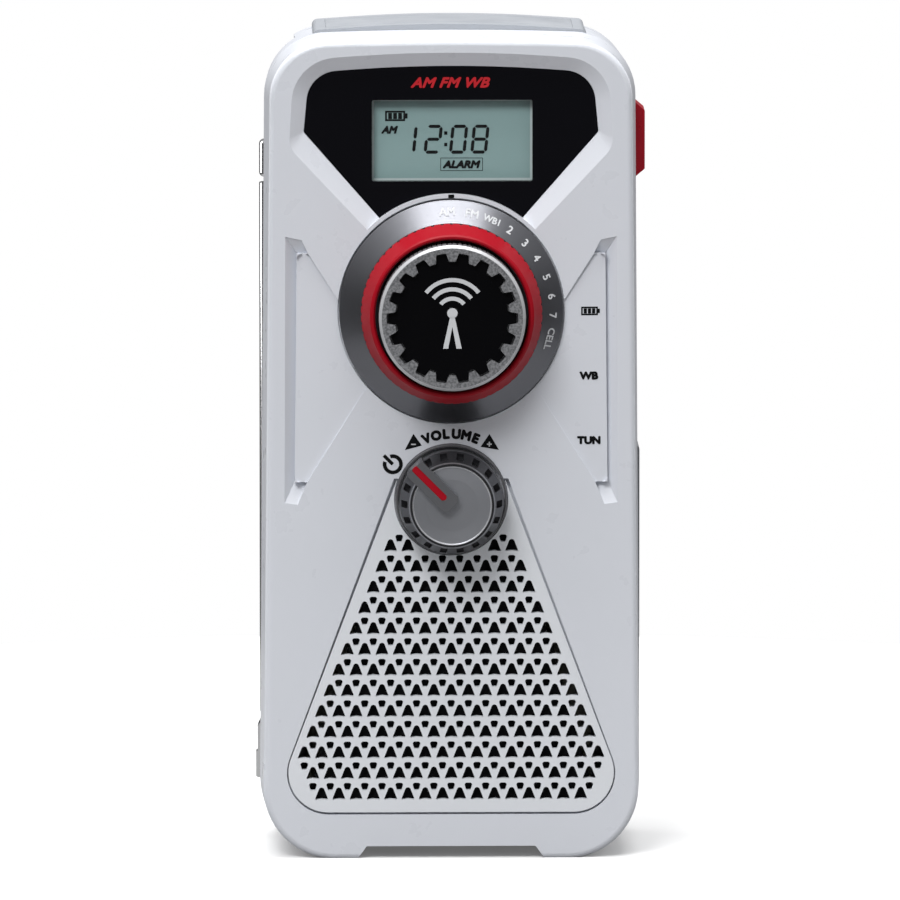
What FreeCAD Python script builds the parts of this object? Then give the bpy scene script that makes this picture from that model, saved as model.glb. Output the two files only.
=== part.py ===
import FreeCAD, Part

"""Hand-crank emergency radio, upright pocket size.

Frame: +Z up, +X to the right of someone facing the radio, front face towards -Y.
Origin: on the standing surface, under the middle of the overall box. Units are millimetres.
Heights on the controls (h) are measured outwards from the front face.
"""

import math
import os

from FreeCAD import Vector

os.makedirs("parts", exist_ok=True)

# ---- casing: driving dimensions ----------------------------------------------------------------
Y_FRONT = -15.8  # front face
Y_SEAM = -4.0  # plane where the two casing halves meet, and where the casing is widest
Y_BACK = 19.9  # back face
# half width at the foot, half width at the shoulder, shoulder height, crown height, foot and shoulder radii
FRONT_SHAPE = (32.7, 31.3, 142.5, 143.45, 12.5, 10.0)
SEAM_SHAPE = (33.2, 32.2, 142.9, 143.9, 13.0, 11.0)
BACK_SHAPE = (32.2, 31.4, 142.1, 143.0, 12.5, 10.5)
CROWN_RADIUS = 600.0
WALL = 2.0
FACE_WALL = 2.6
FLOOR = 4.2  # height of the inside floor, above the arch between the feet
FRONT_FILLET = 1.0
BACK_FILLET = 4.0
FOOT_TRIM = 0.25  # how far the outline runs below the feet before they're cut flat
ARCH_FOOT, ARCH_TOP, ARCH_HEIGHT = 16.2, 14.7, 2.1
LIP = 1.0  # thickness of the tongue that locates the two halves
GAP = 0.15  # assembly gap between fixed pieces
RUNNING_FIT = 0.05  # radial clearance round a turning shaft

# ---- controls: driving dimensions --------------------------------------------------------------
DIAL_Z = 95.9
DIAL_R = 19.4
GRIP_R, GRIP_CREST_R, GRIP_INNER_R = 15.7, 14.2, 13.3
GRIP_GROOVES = 60
GRIP_BASE_H, GRIP_TOP_H = 3.7, 8.0
TUNER_R, TUNER_TOP_H = 12.7, 10.8
TEETH = 18
VOLUME_Z = 63.0
VOLUME_R = 9.0
VOLUME_TOP_H = 8.8
BEZEL_R, BEZEL_SEAT_R = 9.7, 9.78
VOLUME_POINTER_DEG = 135.0  # direction of the pointer at rest, anticlockwise from +X
SHAFT_R = 3.0

# ---- speaker grille: driving dimensions --------------------------------------------------------
GRILLE_TOP_Z, GRILLE_TOP_X = 66.2, 9.46
GRILLE_BOTTOM_Z = 8.05
GRILLE_FLARE = 0.378  # sideways growth per millimetre downwards
GRILLE_CORNER_R = 7.0
GRILLE_THICK = 1.4
HOLE_PITCH, ROW_PITCH = 3.005, 3.63
FIRST_ROW_Z = 55.0
ROWS = 13
WIDEST_ROW = 11
SMALL_HOLE_RISE = 1.14  # how far a small hole sits above the large ones beside it

# ---- drive: driving dimensions -----------------------------------------------------------------
CRANK_Z = 92.0
MODULE = 0.6
CRANK_TEETH, WHEEL_TEETH, PINION_TEETH = 50, 40, 12
# direction from the crank axis to the idler, anticlockwise from +X seen from the front
IDLER_DEG = 49.8
ROTOR_DEG = 158.2  # direction from the idler to the rotor
ADDENDUM, DEDENDUM = 0.7, 1.2  # in modules
BACKLASH = 0.22
ARM_Y0, ARM_Y1 = 20.3, 25.6
KNOB_PIVOT_Z, KNOB_Y, KNOB_R = 49.0, 23.3, 2.95

# ---- antenna: driving dimensions ---------------------------------------------------------------
ANTENNA_X, ANTENNA_Y = -30.5, 9.0
ANTENNA_FLOOR = 10.4
ANTENNA_PIVOT_Z = 18.9
ANTENNA_BASE_R = 3.2
ANTENNA_STUD_R = 0.9  # stud that the base turns on
TUBE_RADII = (2.5, 1.95, 1.4)
TUBE_BORE = 0.45  # a tube's radius less its bore's
TUBE_BOTTOM_Z, TUBE_TOP_Z = 22.4, 115.6
TIP_TOP_Z = 123.2


# ---- helpers -----------------------------------------------------------------------------------
def save(name, shape):
    """Writes one sub-part, and says if it isn't sound."""
    if not shape.isValid() or shape.Volume <= 0 or not shape.Solids:
        print("UNSOUND", name, shape.isValid(), shape.Volume, len(shape.Solids))
    Part.Compound(shape.Solids).exportStep("parts/%s.step" % name)


def block(x0, x1, y0, y1, z0, z1):
    return Part.makeBox(x1 - x0, y1 - y0, z1 - z0, Vector(x0, y0, z0))


def rod(axis, a, b, radius, start, end):
    """A round bar along X, Y or Z. a and b are its other two coordinates, in X, Y, Z order."""
    base = {"x": Vector(start, a, b), "y": Vector(a, start, b), "z": Vector(a, b, start)}[axis]
    way = {"x": Vector(1, 0, 0), "y": Vector(0, 1, 0), "z": Vector(0, 0, 1)}[axis]
    return Part.makeCylinder(radius, end - start, base, way)


def ring(axis, a, b, outer, inner, start, end):
    return rod(axis, a, b, outer, start, end).cut(rod(axis, a, b, inner, start - 1, end + 1))


def rounded(points, radii, y):
    """A closed wire at depth y through (x, z) corners, each rounded by its own radius."""
    corners = [Vector(x, y, z) for x, z in points]
    count = len(corners)
    spans = []
    for i, corner in enumerate(corners):
        before = (corners[i - 1] - corner).normalize()
        after = (corners[(i + 1) % count] - corner).normalize()
        if radii[i] <= 0:
            spans.append((corner, None, corner))
            continue
        half = before.getAngle(after) / 2
        reach = radii[i] / math.tan(half)
        middle = (before + after).normalize() * (radii[i] / math.sin(half) - radii[i])
        spans.append((corner + before * reach, corner + middle, corner + after * reach))
    edges = []
    for i, (start, middle, end) in enumerate(spans):
        if middle is not None:
            edges.append(Part.Arc(start, middle, end).toShape())
        following = spans[(i + 1) % count][0]
        if (following - end).Length > 1e-6:
            edges.append(Part.LineSegment(end, following).toShape())
    return Part.Wire(edges)


def plate(points, radii, y0, y1):
    """A flat plate with rounded corners, between two depths."""
    if not isinstance(radii, (list, tuple)):
        radii = [radii] * len(points)
    return Part.Face(rounded(points, radii, y0)).extrude(Vector(0, y1 - y0, 0))


def mirrored(points):
    return [(-x, z) for x, z in reversed(points)]


def rectangle(half_x, z0, z1, centre_x=0.0):
    return [
        (centre_x - half_x, z0),
        (centre_x + half_x, z0),
        (centre_x + half_x, z1),
        (centre_x - half_x, z1),
    ]


def turned(profile, z, x=0.0):
    """A piece turned about an axis along Y. profile holds (radius, height above the front face)."""
    corners = [Vector(x + r, Y_FRONT - h, z) for r, h in profile]
    face = Part.Face(Part.makePolygon(corners + [corners[0]]))
    return face.revolve(Vector(x, 0, z), Vector(0, 1, 0), 360)


def around(shape, z, degrees, x=0.0):
    """A copy turned about an axis along Y, anticlockwise seen from the front."""
    copy = shape.copy()
    copy.rotate(Vector(x, 0, z), Vector(0, -1, 0), degrees)
    return copy


def fused(shapes):
    whole = shapes[0]
    if len(shapes) > 1:
        whole = whole.multiFuse(shapes[1:])
    return whole.removeSplitter()


def in_front_of(low, high, side):
    """A large block in front of the plane through three (x, depth below the front face, z) points."""
    a, b, c = [Vector(x, Y_FRONT + depth, z) for x, depth, z in (low, high, side)]
    normal = (b - a).cross(c - a).normalize()
    if normal.y > 0:
        normal = normal * -1
    size = 160.0
    box = Part.makeBox(size, size, size, Vector(-size / 2, -size / 2, 0))
    box.Placement = FreeCAD.Placement(a, FreeCAD.Rotation(Vector(0, 0, 1), normal))
    return box


def gear(x, z, teeth, y0, y1, tooth_at_deg, bore, addendum=ADDENDUM):
    """An involute spur gear about an axis along Y, with a tooth centred at tooth_at_deg."""
    pressure = math.radians(20)
    pitch_r = MODULE * teeth / 2
    base_r = pitch_r * math.cos(pressure)
    tip_r, root_r = pitch_r + MODULE * addendum, pitch_r - MODULE * DEDENDUM
    half_pitch = (math.pi * MODULE / 2 - BACKLASH) / 2 / pitch_r
    involute = math.tan(pressure) - pressure
    flank = []
    steps = 4
    start_r = max(base_r, root_r)
    for i in range(steps + 1):
        r = start_r + (tip_r - start_r) * i / steps
        turn = math.acos(min(1.0, base_r / r))
        flank.append((r, half_pitch + involute - (math.tan(turn) - turn)))
    if root_r < start_r:
        flank.insert(0, (root_r, flank[0][1]))
    corners = []
    for i in range(teeth):
        centre = math.radians(tooth_at_deg) + 2 * math.pi * i / teeth
        for r, half in flank:
            corners.append((r, centre - half))
        for r, half in reversed(flank):
            corners.append((r, centre + half))
    outline = [Vector(x + r * math.cos(a), y0, z + r * math.sin(a)) for r, a in corners]
    wheel = Part.Face(Part.makePolygon(outline + [outline[0]])).extrude(Vector(0, y1 - y0, 0))
    return wheel.cut(rod("y", x, z, bore, y0 - 1, y1 + 1)) if bore else wheel


# ---- casing ------------------------------------------------------------------------------------
def section(shape, y, inset, floor=-FOOT_TRIM):
    """The casing's outline at depth y, drawn in by inset and with its foot raised to floor."""
    foot, shoulder, shoulder_z, crown_z, foot_r, shoulder_r = shape
    points = [
        (-foot + inset, floor),
        (foot - inset, floor),
        (shoulder - inset, shoulder_z - inset),
        (0, crown_z - inset),
        (-shoulder + inset, shoulder_z - inset),
    ]
    low, high = max(foot_r - inset, 3.0), shoulder_r - inset
    return rounded(points, [low, low, high, CROWN_RADIUS, high], y)


def casing_outside():
    whole = Part.makeLoft(
        [
            section(FRONT_SHAPE, Y_FRONT, 0),
            section(SEAM_SHAPE, Y_SEAM, 0),
            section(BACK_SHAPE, Y_BACK, 0),
        ],
        True,
        True,
    )
    for y, radius in ((Y_FRONT, FRONT_FILLET), (Y_BACK, BACK_FILLET)):
        rim = [e for e in whole.Edges if all(abs(v.Y - y) < 1e-6 for v in e.Vertexes)]
        whole = whole.makeFillet(radius, rim)
    arch = [
        (-ARCH_FOOT, -1),
        (ARCH_FOOT, -1),
        (ARCH_FOOT, 0),
        (ARCH_TOP, ARCH_HEIGHT),
        (-ARCH_TOP, ARCH_HEIGHT),
        (-ARCH_FOOT, 0),
    ]
    whole = whole.cut(plate(arch, 0, Y_FRONT - 1, Y_BACK + 1))
    return whole.cut(block(-50, 50, Y_FRONT - 5, Y_BACK + 5, -5, 0))


def casing_inside(extra=0.0):
    """The hollow in the casing, grown by extra all round."""
    wall = WALL - extra
    floor = FLOOR - extra
    return Part.makeLoft(
        [
            section(FRONT_SHAPE, Y_FRONT + FACE_WALL, wall + 0.2, floor),
            section(SEAM_SHAPE, Y_SEAM, wall, floor),
            section(BACK_SHAPE, Y_BACK - WALL - 3.0, wall, floor),
            section(BACK_SHAPE, Y_BACK - WALL, wall + 3.0, floor + 1.5),
        ],
        True,
        True,
    )


WINDOW_INNER = [(3.0, 101.2), (25.55, 127.0), (24.6, 137.35)]
WINDOW_OUTER = [(4.0, 98.8), (28.1, 124.4), (27.3, 139.6)]
WINDOW_CROWN_INNER, WINDOW_CROWN_OUTER = 139.1, 141.6
WINDOW_CROWN_RADIUS = 235.0
WINDOW_DEPTH = 1.3
WINDOW_THICK = 1.6
LEDGE = 1.2  # thickness of the ledge that carries the window
RIM_R = 20.35  # the raised rim round the band dial
DISPLAY = (13.9, 118.4, 132.55, 0.2)  # half width, bottom, top and centre of the clear opening


def window_wire(points, crown, radii, y):
    outline = points + [(0, crown)] + mirrored(points)
    return rounded(outline, radii + [WINDOW_CROWN_RADIUS] + list(reversed(radii)), y)


def window_prism(clearance, y0, y1):
    """The display window's outline, drawn in by clearance, as a prism that stops at the dial's rim."""
    points = [(x - clearance * 1.1, z) for x, z in WINDOW_INNER[1:]]
    points = [WINDOW_INNER[0]] + points
    wire = window_wire(points, WINDOW_CROWN_INNER - clearance, [0, 0.5, 5.5], y0)
    prism = Part.Face(wire).extrude(Vector(0, y1 - y0, 0))
    return prism.cut(rod("y", 0, DIAL_Z, RIM_R + clearance, y0 - 1, y1 + 1))


def window_recess():
    """The sloped surround that leads down to the display window."""
    outer = window_wire(WINDOW_OUTER, WINDOW_CROWN_OUTER, [0, 4.0, 8.0], Y_FRONT - 0.02)
    inner = window_wire(WINDOW_INNER, WINDOW_CROWN_INNER, [0, 0.5, 5.5], Y_FRONT + WINDOW_DEPTH)
    slope = Part.makeLoft([outer, inner], True, True)
    return slope.cut(rod("y", 0, DIAL_Z, RIM_R, Y_FRONT - 1, Y_FRONT + 3))


SIDE_OUTER = [(28.9, 62.4), (28.75, 108.9)]  # outer edge of the side pocket, low and high
SIDE_PAD = [(27.15, 66.0), (26.75, 105.9)]  # edge of the raised pad in it
# where the pocket meets the X arms
SIDE_ARM = [(26.6, 62.1), (25.0, 66.0), (24.8, 106.0), (25.9, 108.3)]
SIDE_DEPTH = 1.5
PAD_DEPTH_OUT, PAD_DEPTH_IN = 0.55, 0.12
PAD_IN = [(13.0, 85.2), (15.0, 90.5)]  # ends of the pad's edges, under the dial


def side_pocket():
    """The triangular recess beside the dial, on the right; the left one mirrors it."""
    front, deep = Y_FRONT - 0.5, Y_FRONT + 4
    (xo0, zo0), (xo1, zo1) = SIDE_OUTER
    (xp0, zp0), (xp1, zp1) = SIDE_PAD
    low_tip, low_in, high_in, high_tip = SIDE_ARM
    wall = plate([(xp0, zp0), (xo0, zo0), (xo1, zo1), (xp1, zp1)], 0, front, deep)
    wall = wall.common(in_front_of((xo0, 0, zo0), (xo1, 0, zo1), (xp0, SIDE_DEPTH, zp0)))
    low = plate([low_tip, (xo0, zo0), (xp0, zp0), low_in], 0, front, deep)
    low = low.common(
        in_front_of((low_tip[0], 0.1, low_tip[1]), (xo0, 0.1, zo0), (xp0, SIDE_DEPTH, zp0))
    )
    high = plate([high_in, (xp1, zp1), (xo1, zo1), high_tip], 0, front, deep)
    high = high.common(
        in_front_of((high_tip[0], 0.1, high_tip[1]), (xo1, 0.1, zo1), (xp1, SIDE_DEPTH, zp1))
    )
    pad_outline = [low_in, (xp0, zp0), (xp1, zp1), high_in, PAD_IN[1], PAD_IN[0]]
    pad = plate(pad_outline, [0.6, 0.9, 0.9, 0.6, 0, 0], front, deep)
    pad = pad.common(
        in_front_of(
            (PAD_IN[0][0], PAD_DEPTH_IN, PAD_IN[0][1]),
            (xp0, PAD_DEPTH_OUT, zp0),
            (xp1, PAD_DEPTH_OUT, zp1),
        )
    )
    return fused([wall, low, high, pad])


def grille_points(inset):
    top_x = GRILLE_TOP_X - inset
    bottom_z = GRILLE_BOTTOM_Z + inset
    bottom_x = GRILLE_TOP_X + GRILLE_FLARE * (GRILLE_TOP_Z - bottom_z) - inset * 1.07
    return [(-bottom_x, bottom_z), (bottom_x, bottom_z), (top_x, GRILLE_TOP_Z), (-top_x, GRILLE_TOP_Z)]


def grille_prism(inset, y0, y1):
    corner = GRILLE_CORNER_R - inset
    return plate(grille_points(inset), [corner, corner, 0, 0], y0, y1)


SCREWS = [(-20.5, 136.2), (20.5, 136.2), (-22.5, 46.0), (22.5, 46.0)]
POST_R, POST_END_Y = 3.0, 14.4
LIGHT_Z, LIGHT_Y = 124.1, 2.0
LAMP_Y = 11.2
LAMP_R = 4.5
PORT_Y0, PORT_Y1, PORT_Z0, PORT_Z1 = 3.2, 15.0, 14.8, 69.8
HINGE_CLEARANCE = 0.45
USB_Z, CHARGE_Z = 62.4, 50.6
PORT_FLOOR_X = 31.2
JACK_Y, JACK_Z = 2.0, 108.0
JACK_R = 1.8


def front_shell(outside):
    shell = outside.common(block(-50, 50, Y_FRONT - 1, Y_SEAM - GAP / 2, -1, 160))
    shell = shell.cut(casing_inside())
    shell = shell.cut(casing_inside(LIP).common(block(-50, 50, Y_SEAM - 2.2, Y_SEAM, -1, 160)))
    posts = [rod("y", x, z, POST_R, Y_FRONT + FACE_WALL - 0.5, POST_END_Y) for x, z in SCREWS]
    ledge_y = Y_FRONT + WINDOW_DEPTH + WINDOW_THICK + 0.05
    ledge_points = [(14, 109), (26.6, 124.5), (26.4, 139.2)]
    ledge_points += mirrored(ledge_points)
    ledge = plate(ledge_points, [0, 2, 6, 6, 2, 0], Y_FRONT + FACE_WALL - 0.5, ledge_y + LEDGE)
    shell = fused([shell, ledge] + posts)
    pocket = side_pocket()
    half, low, high, middle = DISPLAY
    cuts = [
        window_recess(),
        window_prism(0, Y_FRONT, ledge_y),
        plate(rectangle(half + 2.2, low - 1.2, high + 2.8, middle), 0.5, Y_FRONT, ledge_y + LEDGE + 1),
        rod("y", 0, DIAL_Z, DIAL_R + 0.3, Y_FRONT - 1, Y_FRONT + 0.8),
        rod("y", 0, DIAL_Z, 8.0, Y_FRONT - 1, Y_FRONT + 4),
        rod("y", 0, VOLUME_Z, BEZEL_SEAT_R, Y_FRONT - 1, Y_FRONT + 0.5),
        rod("y", 0, VOLUME_Z, 4.2, Y_FRONT - 1, Y_FRONT + 4),
        grille_recess(Y_FRONT - 1, Y_FRONT + GRILLE_THICK + 0.1),
        grille_prism(0.55, Y_FRONT, Y_FRONT + 4).cut(
            rod("y", 0, VOLUME_Z, 11.0, Y_FRONT - 2, Y_FRONT + 5)
        ),
        pocket,
        pocket.mirror(Vector(0, 0, 0), Vector(1, 0, 0)),
    ]
    cuts += [rod("y", x, z, 1.2, 4.0, 18.0) for x, z in SCREWS]
    for cut in cuts:
        shell = shell.cut(cut)
    return shell


SOLAR = (23.7, -2.8, 15.5)  # half width, front and back of the solar panel's frame
SOLAR_FLOOR = 142.3
SOLAR_EDGE, SOLAR_CROWN = 143.5, 145.1  # heights of its top, at the ends and in the middle
SOLAR_CROWN_RADIUS, SOLAR_END_RADIUS = 250.0, 1.0
TRAY = (24.9, 4.9, 39.4, 6.0)  # half width, bottom, top and front of the battery tray
DOOR = (23.6, 5.6, 38.2)  # half width, hinge height and top of the battery door
DOOR_Y0, DOOR_HINGE_Y = 18.2, 19.0
DOOR_CLEARANCE = 0.3
BOSS_R = 5.4  # boss that carries the crank shaft


def rear_shell(outside):
    shell = outside.common(block(-50, 50, Y_SEAM + GAP / 2, Y_BACK + 1, -1, 160))
    inside = casing_inside()
    shell = shell.cut(inside)
    tongue = casing_inside(LIP - 0.1).cut(inside).common(
        block(-50, 50, Y_SEAM - 2.0, Y_SEAM + 0.5, -1, 160)
    )
    antenna_wall = outside.common(
        block(-50, ANTENNA_X + 5.2, ANTENNA_Y - 5.2, Y_BACK, ANTENNA_FLOOR - 1.8, 160)
    )
    port_wall = outside.common(
        block(29.2, 50, PORT_Y0 - 1.4, PORT_Y1 + 1.6, PORT_Z0 - 1.4, PORT_Z1 + 1.4)
    )
    boss = rod("y", 0, CRANK_Z, BOSS_R, 16.2, Y_BACK - 0.5)
    seats = [rod("y", x, z, POST_R, POST_END_Y + GAP, Y_BACK - 0.5).common(outside) for x, z in SCREWS]
    shell = fused([shell, tongue, antenna_wall, port_wall, boss] + seats)
    shell = shell.cut(block(-50, ANTENNA_X + 3.7, ANTENNA_Y - 3.6, Y_BACK + 1, ANTENNA_FLOOR, 160))
    half, y0, y1 = SOLAR
    door_half, door_z0, door_z1 = DOOR
    cuts = [
        block(-half - 0.1, half + 0.1, y0 - 0.1, y1 + 0.1, SOLAR_FLOOR, 160),
        block(PORT_FLOOR_X, 50, PORT_Y0 - 0.3, PORT_Y1 + HINGE_CLEARANCE, PORT_Z0 - 0.3, PORT_Z1 + 0.3),
        block(20, PORT_FLOOR_X + 1, 6.0, 12.0, USB_Z - 7.0, USB_Z + 7.0),
        block(20, PORT_FLOOR_X + 1, 7.1, 11.0, CHARGE_Z - 4.4, CHARGE_Z + 4.4),
        rod("x", JACK_Y, JACK_Z, 3.4, 24, 40),
        rod("x", LAMP_Y, LIGHT_Z, LAMP_R + 0.1, 24, 40),
        block(28, 40, LIGHT_Y - 3.65, LIGHT_Y + 3.65, LIGHT_Z - 6.65, LIGHT_Z + 6.65),
        rod("y", 0, CRANK_Z, SHAFT_R + RUNNING_FIT, 10, Y_BACK + 1),
        rod(
            "z",
            ANTENNA_X,
            ANTENNA_Y,
            ANTENNA_STUD_R + RUNNING_FIT,
            ANTENNA_FLOOR - 3,
            ANTENNA_FLOOR + 1,
        ),
        block(
            -door_half - DOOR_CLEARANCE,
            door_half + DOOR_CLEARANCE,
            12,
            Y_BACK + 1,
            door_z0 - 0.9 - DOOR_CLEARANCE,
            door_z1 + DOOR_CLEARANCE,
        ),
    ]
    for x, z in SCREWS:
        cuts.append(rod("y", x, z, 3.2, Y_BACK - 1.3, Y_BACK + 1))
        cuts.append(rod("y", x, z, 1.4, 10, Y_BACK + 1))
    for cut in cuts:
        shell = shell.cut(cut)
    return shell


def grille_recess(y0, y1):
    """The recess for the grille panel, with a groove round it that widens towards the top."""
    low, _, high, _ = [grille_points(0)[i] for i in (1, 0, 2, 3)]
    points = [
        (-low[0] - 0.3, low[1] - 0.4), (low[0] + 0.3, low[1] - 0.4), (high[0] + 0.45, high[1] + 0.4)
    ]
    points.append((-points[2][0], points[2][1]))
    corner = GRILLE_CORNER_R + 0.3
    return plate(points, [corner, corner, 0, 0], y0, y1).cut(
        rod("y", 0, VOLUME_Z, BEZEL_SEAT_R, y0 - 1, y1 + 1)
    )


def speaker_grille():
    """The perforated panel: rows of bell-shaped holes with small inverted ones between their tops."""
    y0, y1 = Y_FRONT + 0.1, Y_FRONT + GRILLE_THICK
    panel = grille_prism(0, y0, y1).cut(rod("y", 0, VOLUME_Z, BEZEL_SEAT_R + 0.12, y0 - 1, y1 + 1))
    bell = plate(
        [(-1.2, -1.2), (0, -1.05), (1.2, -1.2), (0.0, 1.85)], [0.16, 1.5, 0.16, 0.5], y0 - 1, y1 + 1
    )
    small = plate(
        [(-0.4, -0.65), (0.4, -0.65), (0.8, 0.65), (-0.8, 0.65)], [0.2, 0.2, 0.4, 0.4], y0 - 1, y1 + 1
    )
    holes = []
    for row in range(1, ROWS + 1):
        z = FIRST_ROW_Z - ROW_PITCH * (row - 1)
        count = 7 + row if row <= WIDEST_ROW else 7 + 2 * WIDEST_ROW - row
        # past the widest row the small holes also flank the ends
        ends = 0.5 if row > WIDEST_ROW else -0.5
        for i in range(count):
            x = (i - (count - 1) / 2) * HOLE_PITCH
            if row > 1 or abs(x) > 6.0:
                holes.append(bell.translated(Vector(x, 0, z)))
        reach = (count - 1) / 2 + ends
        for i in range(int(2 * reach) + 1):
            x = (i - reach) * HOLE_PITCH
            if row > 1 or abs(x) > 8.0:
                holes.append(small.translated(Vector(x, 0, z + SMALL_HOLE_RISE)))
    return panel.cut(Part.Compound(holes))


# ---- display -----------------------------------------------------------------------------------
def display_window():
    y0 = Y_FRONT + WINDOW_DEPTH
    half, low, high, middle = DISPLAY
    window = window_prism(0.08, y0, y0 + WINDOW_THICK)
    return window.cut(plate(rectangle(half, low, high, middle), 0.3, y0 - 1, y0 + 3))


def display_pieces():
    y0 = Y_FRONT + WINDOW_DEPTH
    half, low, high, middle = DISPLAY
    lens = plate(
        rectangle(half - 0.04, low + 0.04, high - 0.04, middle), 0.3, y0 + 0.05, y0 + WINDOW_THICK
    )
    glass_y = y0 + WINDOW_THICK + 0.1
    glass = block(middle - half - 1, middle + half + 1, glass_y, glass_y + 1.8, low - 0.2, high + 1.5)
    outer = block(middle - half - 2, middle + half + 2, glass_y, glass_y + 4.0, low - 1.0, high + 2.6)
    seat = block(
        middle - half - 1.05, middle + half + 1.05, glass_y - 1, glass_y + 1.85, low - 0.25, high + 1.55
    )
    return lens, glass, outer.cut(seat)


# ---- band dial and tuning knob -----------------------------------------------------------------
def serrated(shape, z, radius, count, depth, y0, y1):
    """Cuts count small V grooves round a turned piece."""
    half = depth * 0.9
    groove = plate(
        [(-half, z + radius + 0.3), (half, z + radius + 0.3), (0, z + radius - depth)], 0, y0, y1
    )
    return shape.cut(Part.Compound([around(groove, z, 360.0 * i / count) for i in range(count)]))


def band_dial_ring():
    return turned(
        [
            (7.0, -5.0),
            (7.6, -5.0),
            (7.6, -0.6),
            (DIAL_R, -0.6),
            (DIAL_R, 0.5),
            (GRIP_R + 0.05, GRIP_BASE_H),
            (GRIP_INNER_R, GRIP_BASE_H),
            (GRIP_INNER_R, 1.0),
            (7.0, 1.0),
        ],
        DIAL_Z,
    )


def band_grip_ring():
    """The raised red ring: a serrated slope up to a narrow flat crest."""
    body = turned(
        [
            (GRIP_INNER_R, GRIP_BASE_H),
            (GRIP_R, GRIP_BASE_H),
            (GRIP_R, GRIP_BASE_H + 0.5),
            (GRIP_CREST_R, GRIP_TOP_H - 0.25),
            (GRIP_CREST_R - 0.3, GRIP_TOP_H),
            (GRIP_INNER_R + 0.3, GRIP_TOP_H),
            (GRIP_INNER_R, GRIP_TOP_H - 0.4),
        ],
        DIAL_Z,
    )
    slope = math.degrees(math.atan2(GRIP_TOP_H - GRIP_BASE_H - 0.75, GRIP_R - GRIP_CREST_R))
    base_y = Y_FRONT - GRIP_BASE_H
    groove = rod("y", 0, DIAL_Z + GRIP_R + 0.05, 0.3, base_y - 6.5, base_y + 1.0)
    groove.rotate(Vector(0, base_y - 0.5, DIAL_Z + GRIP_R), Vector(1, 0, 0), slope - 90.0)
    return body.cut(
        Part.Compound([around(groove, DIAL_Z, 360.0 * i / GRIP_GROOVES) for i in range(GRIP_GROOVES)])
    )


def toothed_points(tip, root, z):
    """Corners of a coarse-toothed outline, as in the tuning knob's centre."""
    points = []
    for i in range(TEETH):
        middle = 90.0 + 180.0 / TEETH + 360.0 * i / TEETH
        for radius, turn in ((root, -6.6), (tip, -4.4), (tip, 4.4), (root, 6.6)):
            a = math.radians(middle + turn)
            points.append((radius * math.cos(a), z + radius * math.sin(a)))
    return points


TOOTH_TIP, TOOTH_ROOT, TOOTH_POCKET = 11.4, 9.95, 1.5


def tuning_knob():
    body = turned(
        [
            (3.05, -4.6),
            (4.4, -4.6),
            (4.4, 1.6),
            (TUNER_R, 1.6),
            (TUNER_R, TUNER_TOP_H - 0.5),
            (TUNER_R - 0.45, TUNER_TOP_H),
            (0, TUNER_TOP_H),
            (0, TUNER_TOP_H - TOOTH_POCKET - 1.4),
            (3.05, TUNER_TOP_H - TOOTH_POCKET - 1.4),
        ],
        DIAL_Z,
    )
    top = Y_FRONT - TUNER_TOP_H
    pocket = plate(toothed_points(TOOTH_TIP, TOOTH_ROOT, DIAL_Z), 0.22, top - 1, top + TOOTH_POCKET)
    return serrated(body.cut(pocket), DIAL_Z, TUNER_R, 90, 0.28, top + 0.55, Y_FRONT - 1.7)


def tuning_insert():
    top = Y_FRONT - TUNER_TOP_H + 0.75
    slab = plate(
        toothed_points(TOOTH_TIP - 0.3, TOOTH_ROOT - 0.3, DIAL_Z),
        0.2,
        top,
        Y_FRONT - TUNER_TOP_H + TOOTH_POCKET,
    )
    return slab


def dial_internals():
    shaft = rod("y", 0, DIAL_Z, SHAFT_R, Y_FRONT - (TUNER_TOP_H - TOOTH_POCKET - 1.5), Y_FRONT + 8.6)
    shaft = shaft.cut(block(1.6, 5, Y_FRONT - 12, Y_FRONT + 2, DIAL_Z - 5, DIAL_Z + 5))
    disc = ring("y", 0, DIAL_Z, 11.0, 4.7, Y_FRONT + 5.0, Y_FRONT + 6.0)
    seat = fused(
        [ring("y", 0, DIAL_Z, 12.5, 4.2, Y_FRONT + 6.4, Y_FRONT + 7.2)]
        + [
            rod(
                "y", 11.3 * math.cos(a), DIAL_Z + 11.3 * math.sin(a), 1.0, Y_FRONT + 7.0, Y_FRONT + 12.2
            )
            for a in (math.radians(45 + 90 * k) for k in range(4))
        ]
    )
    body = block(-6, 6, Y_FRONT + 7.8, Y_FRONT + 12.2, DIAL_Z - 6, DIAL_Z + 6)
    body = body.cut(rod("y", 0, DIAL_Z, SHAFT_R + 0.05, Y_FRONT + 7, Y_FRONT + 8.7))
    return shaft, disc, seat, body


# ---- volume control ----------------------------------------------------------------------------
def pointer_bar(half_width, inner, outer, y0, y1, nose):
    """A bar from near the axis outwards along +X, with a nose that narrows towards the axis."""
    points = [
        (inner + nose, VOLUME_Z - half_width),
        (outer, VOLUME_Z - half_width),
        (outer, VOLUME_Z + half_width),
        (inner + nose, VOLUME_Z + half_width),
        (inner, VOLUME_Z + half_width - nose),
        (inner, VOLUME_Z - half_width + nose),
    ]
    bar = plate(points, [0.4, 0.4, 0.4, 0.4, 0.4, 0.4], y0, y1)
    return around(bar, VOLUME_Z, VOLUME_POINTER_DEG)


POINTER_HALF, POINTER_IN, POINTER_OUT, POINTER_NOSE = 1.85, -0.3, 9.3, 0.7
RED_HALF, RED_IN, RED_OUT = 0.6, 1.6, 9.4


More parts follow.
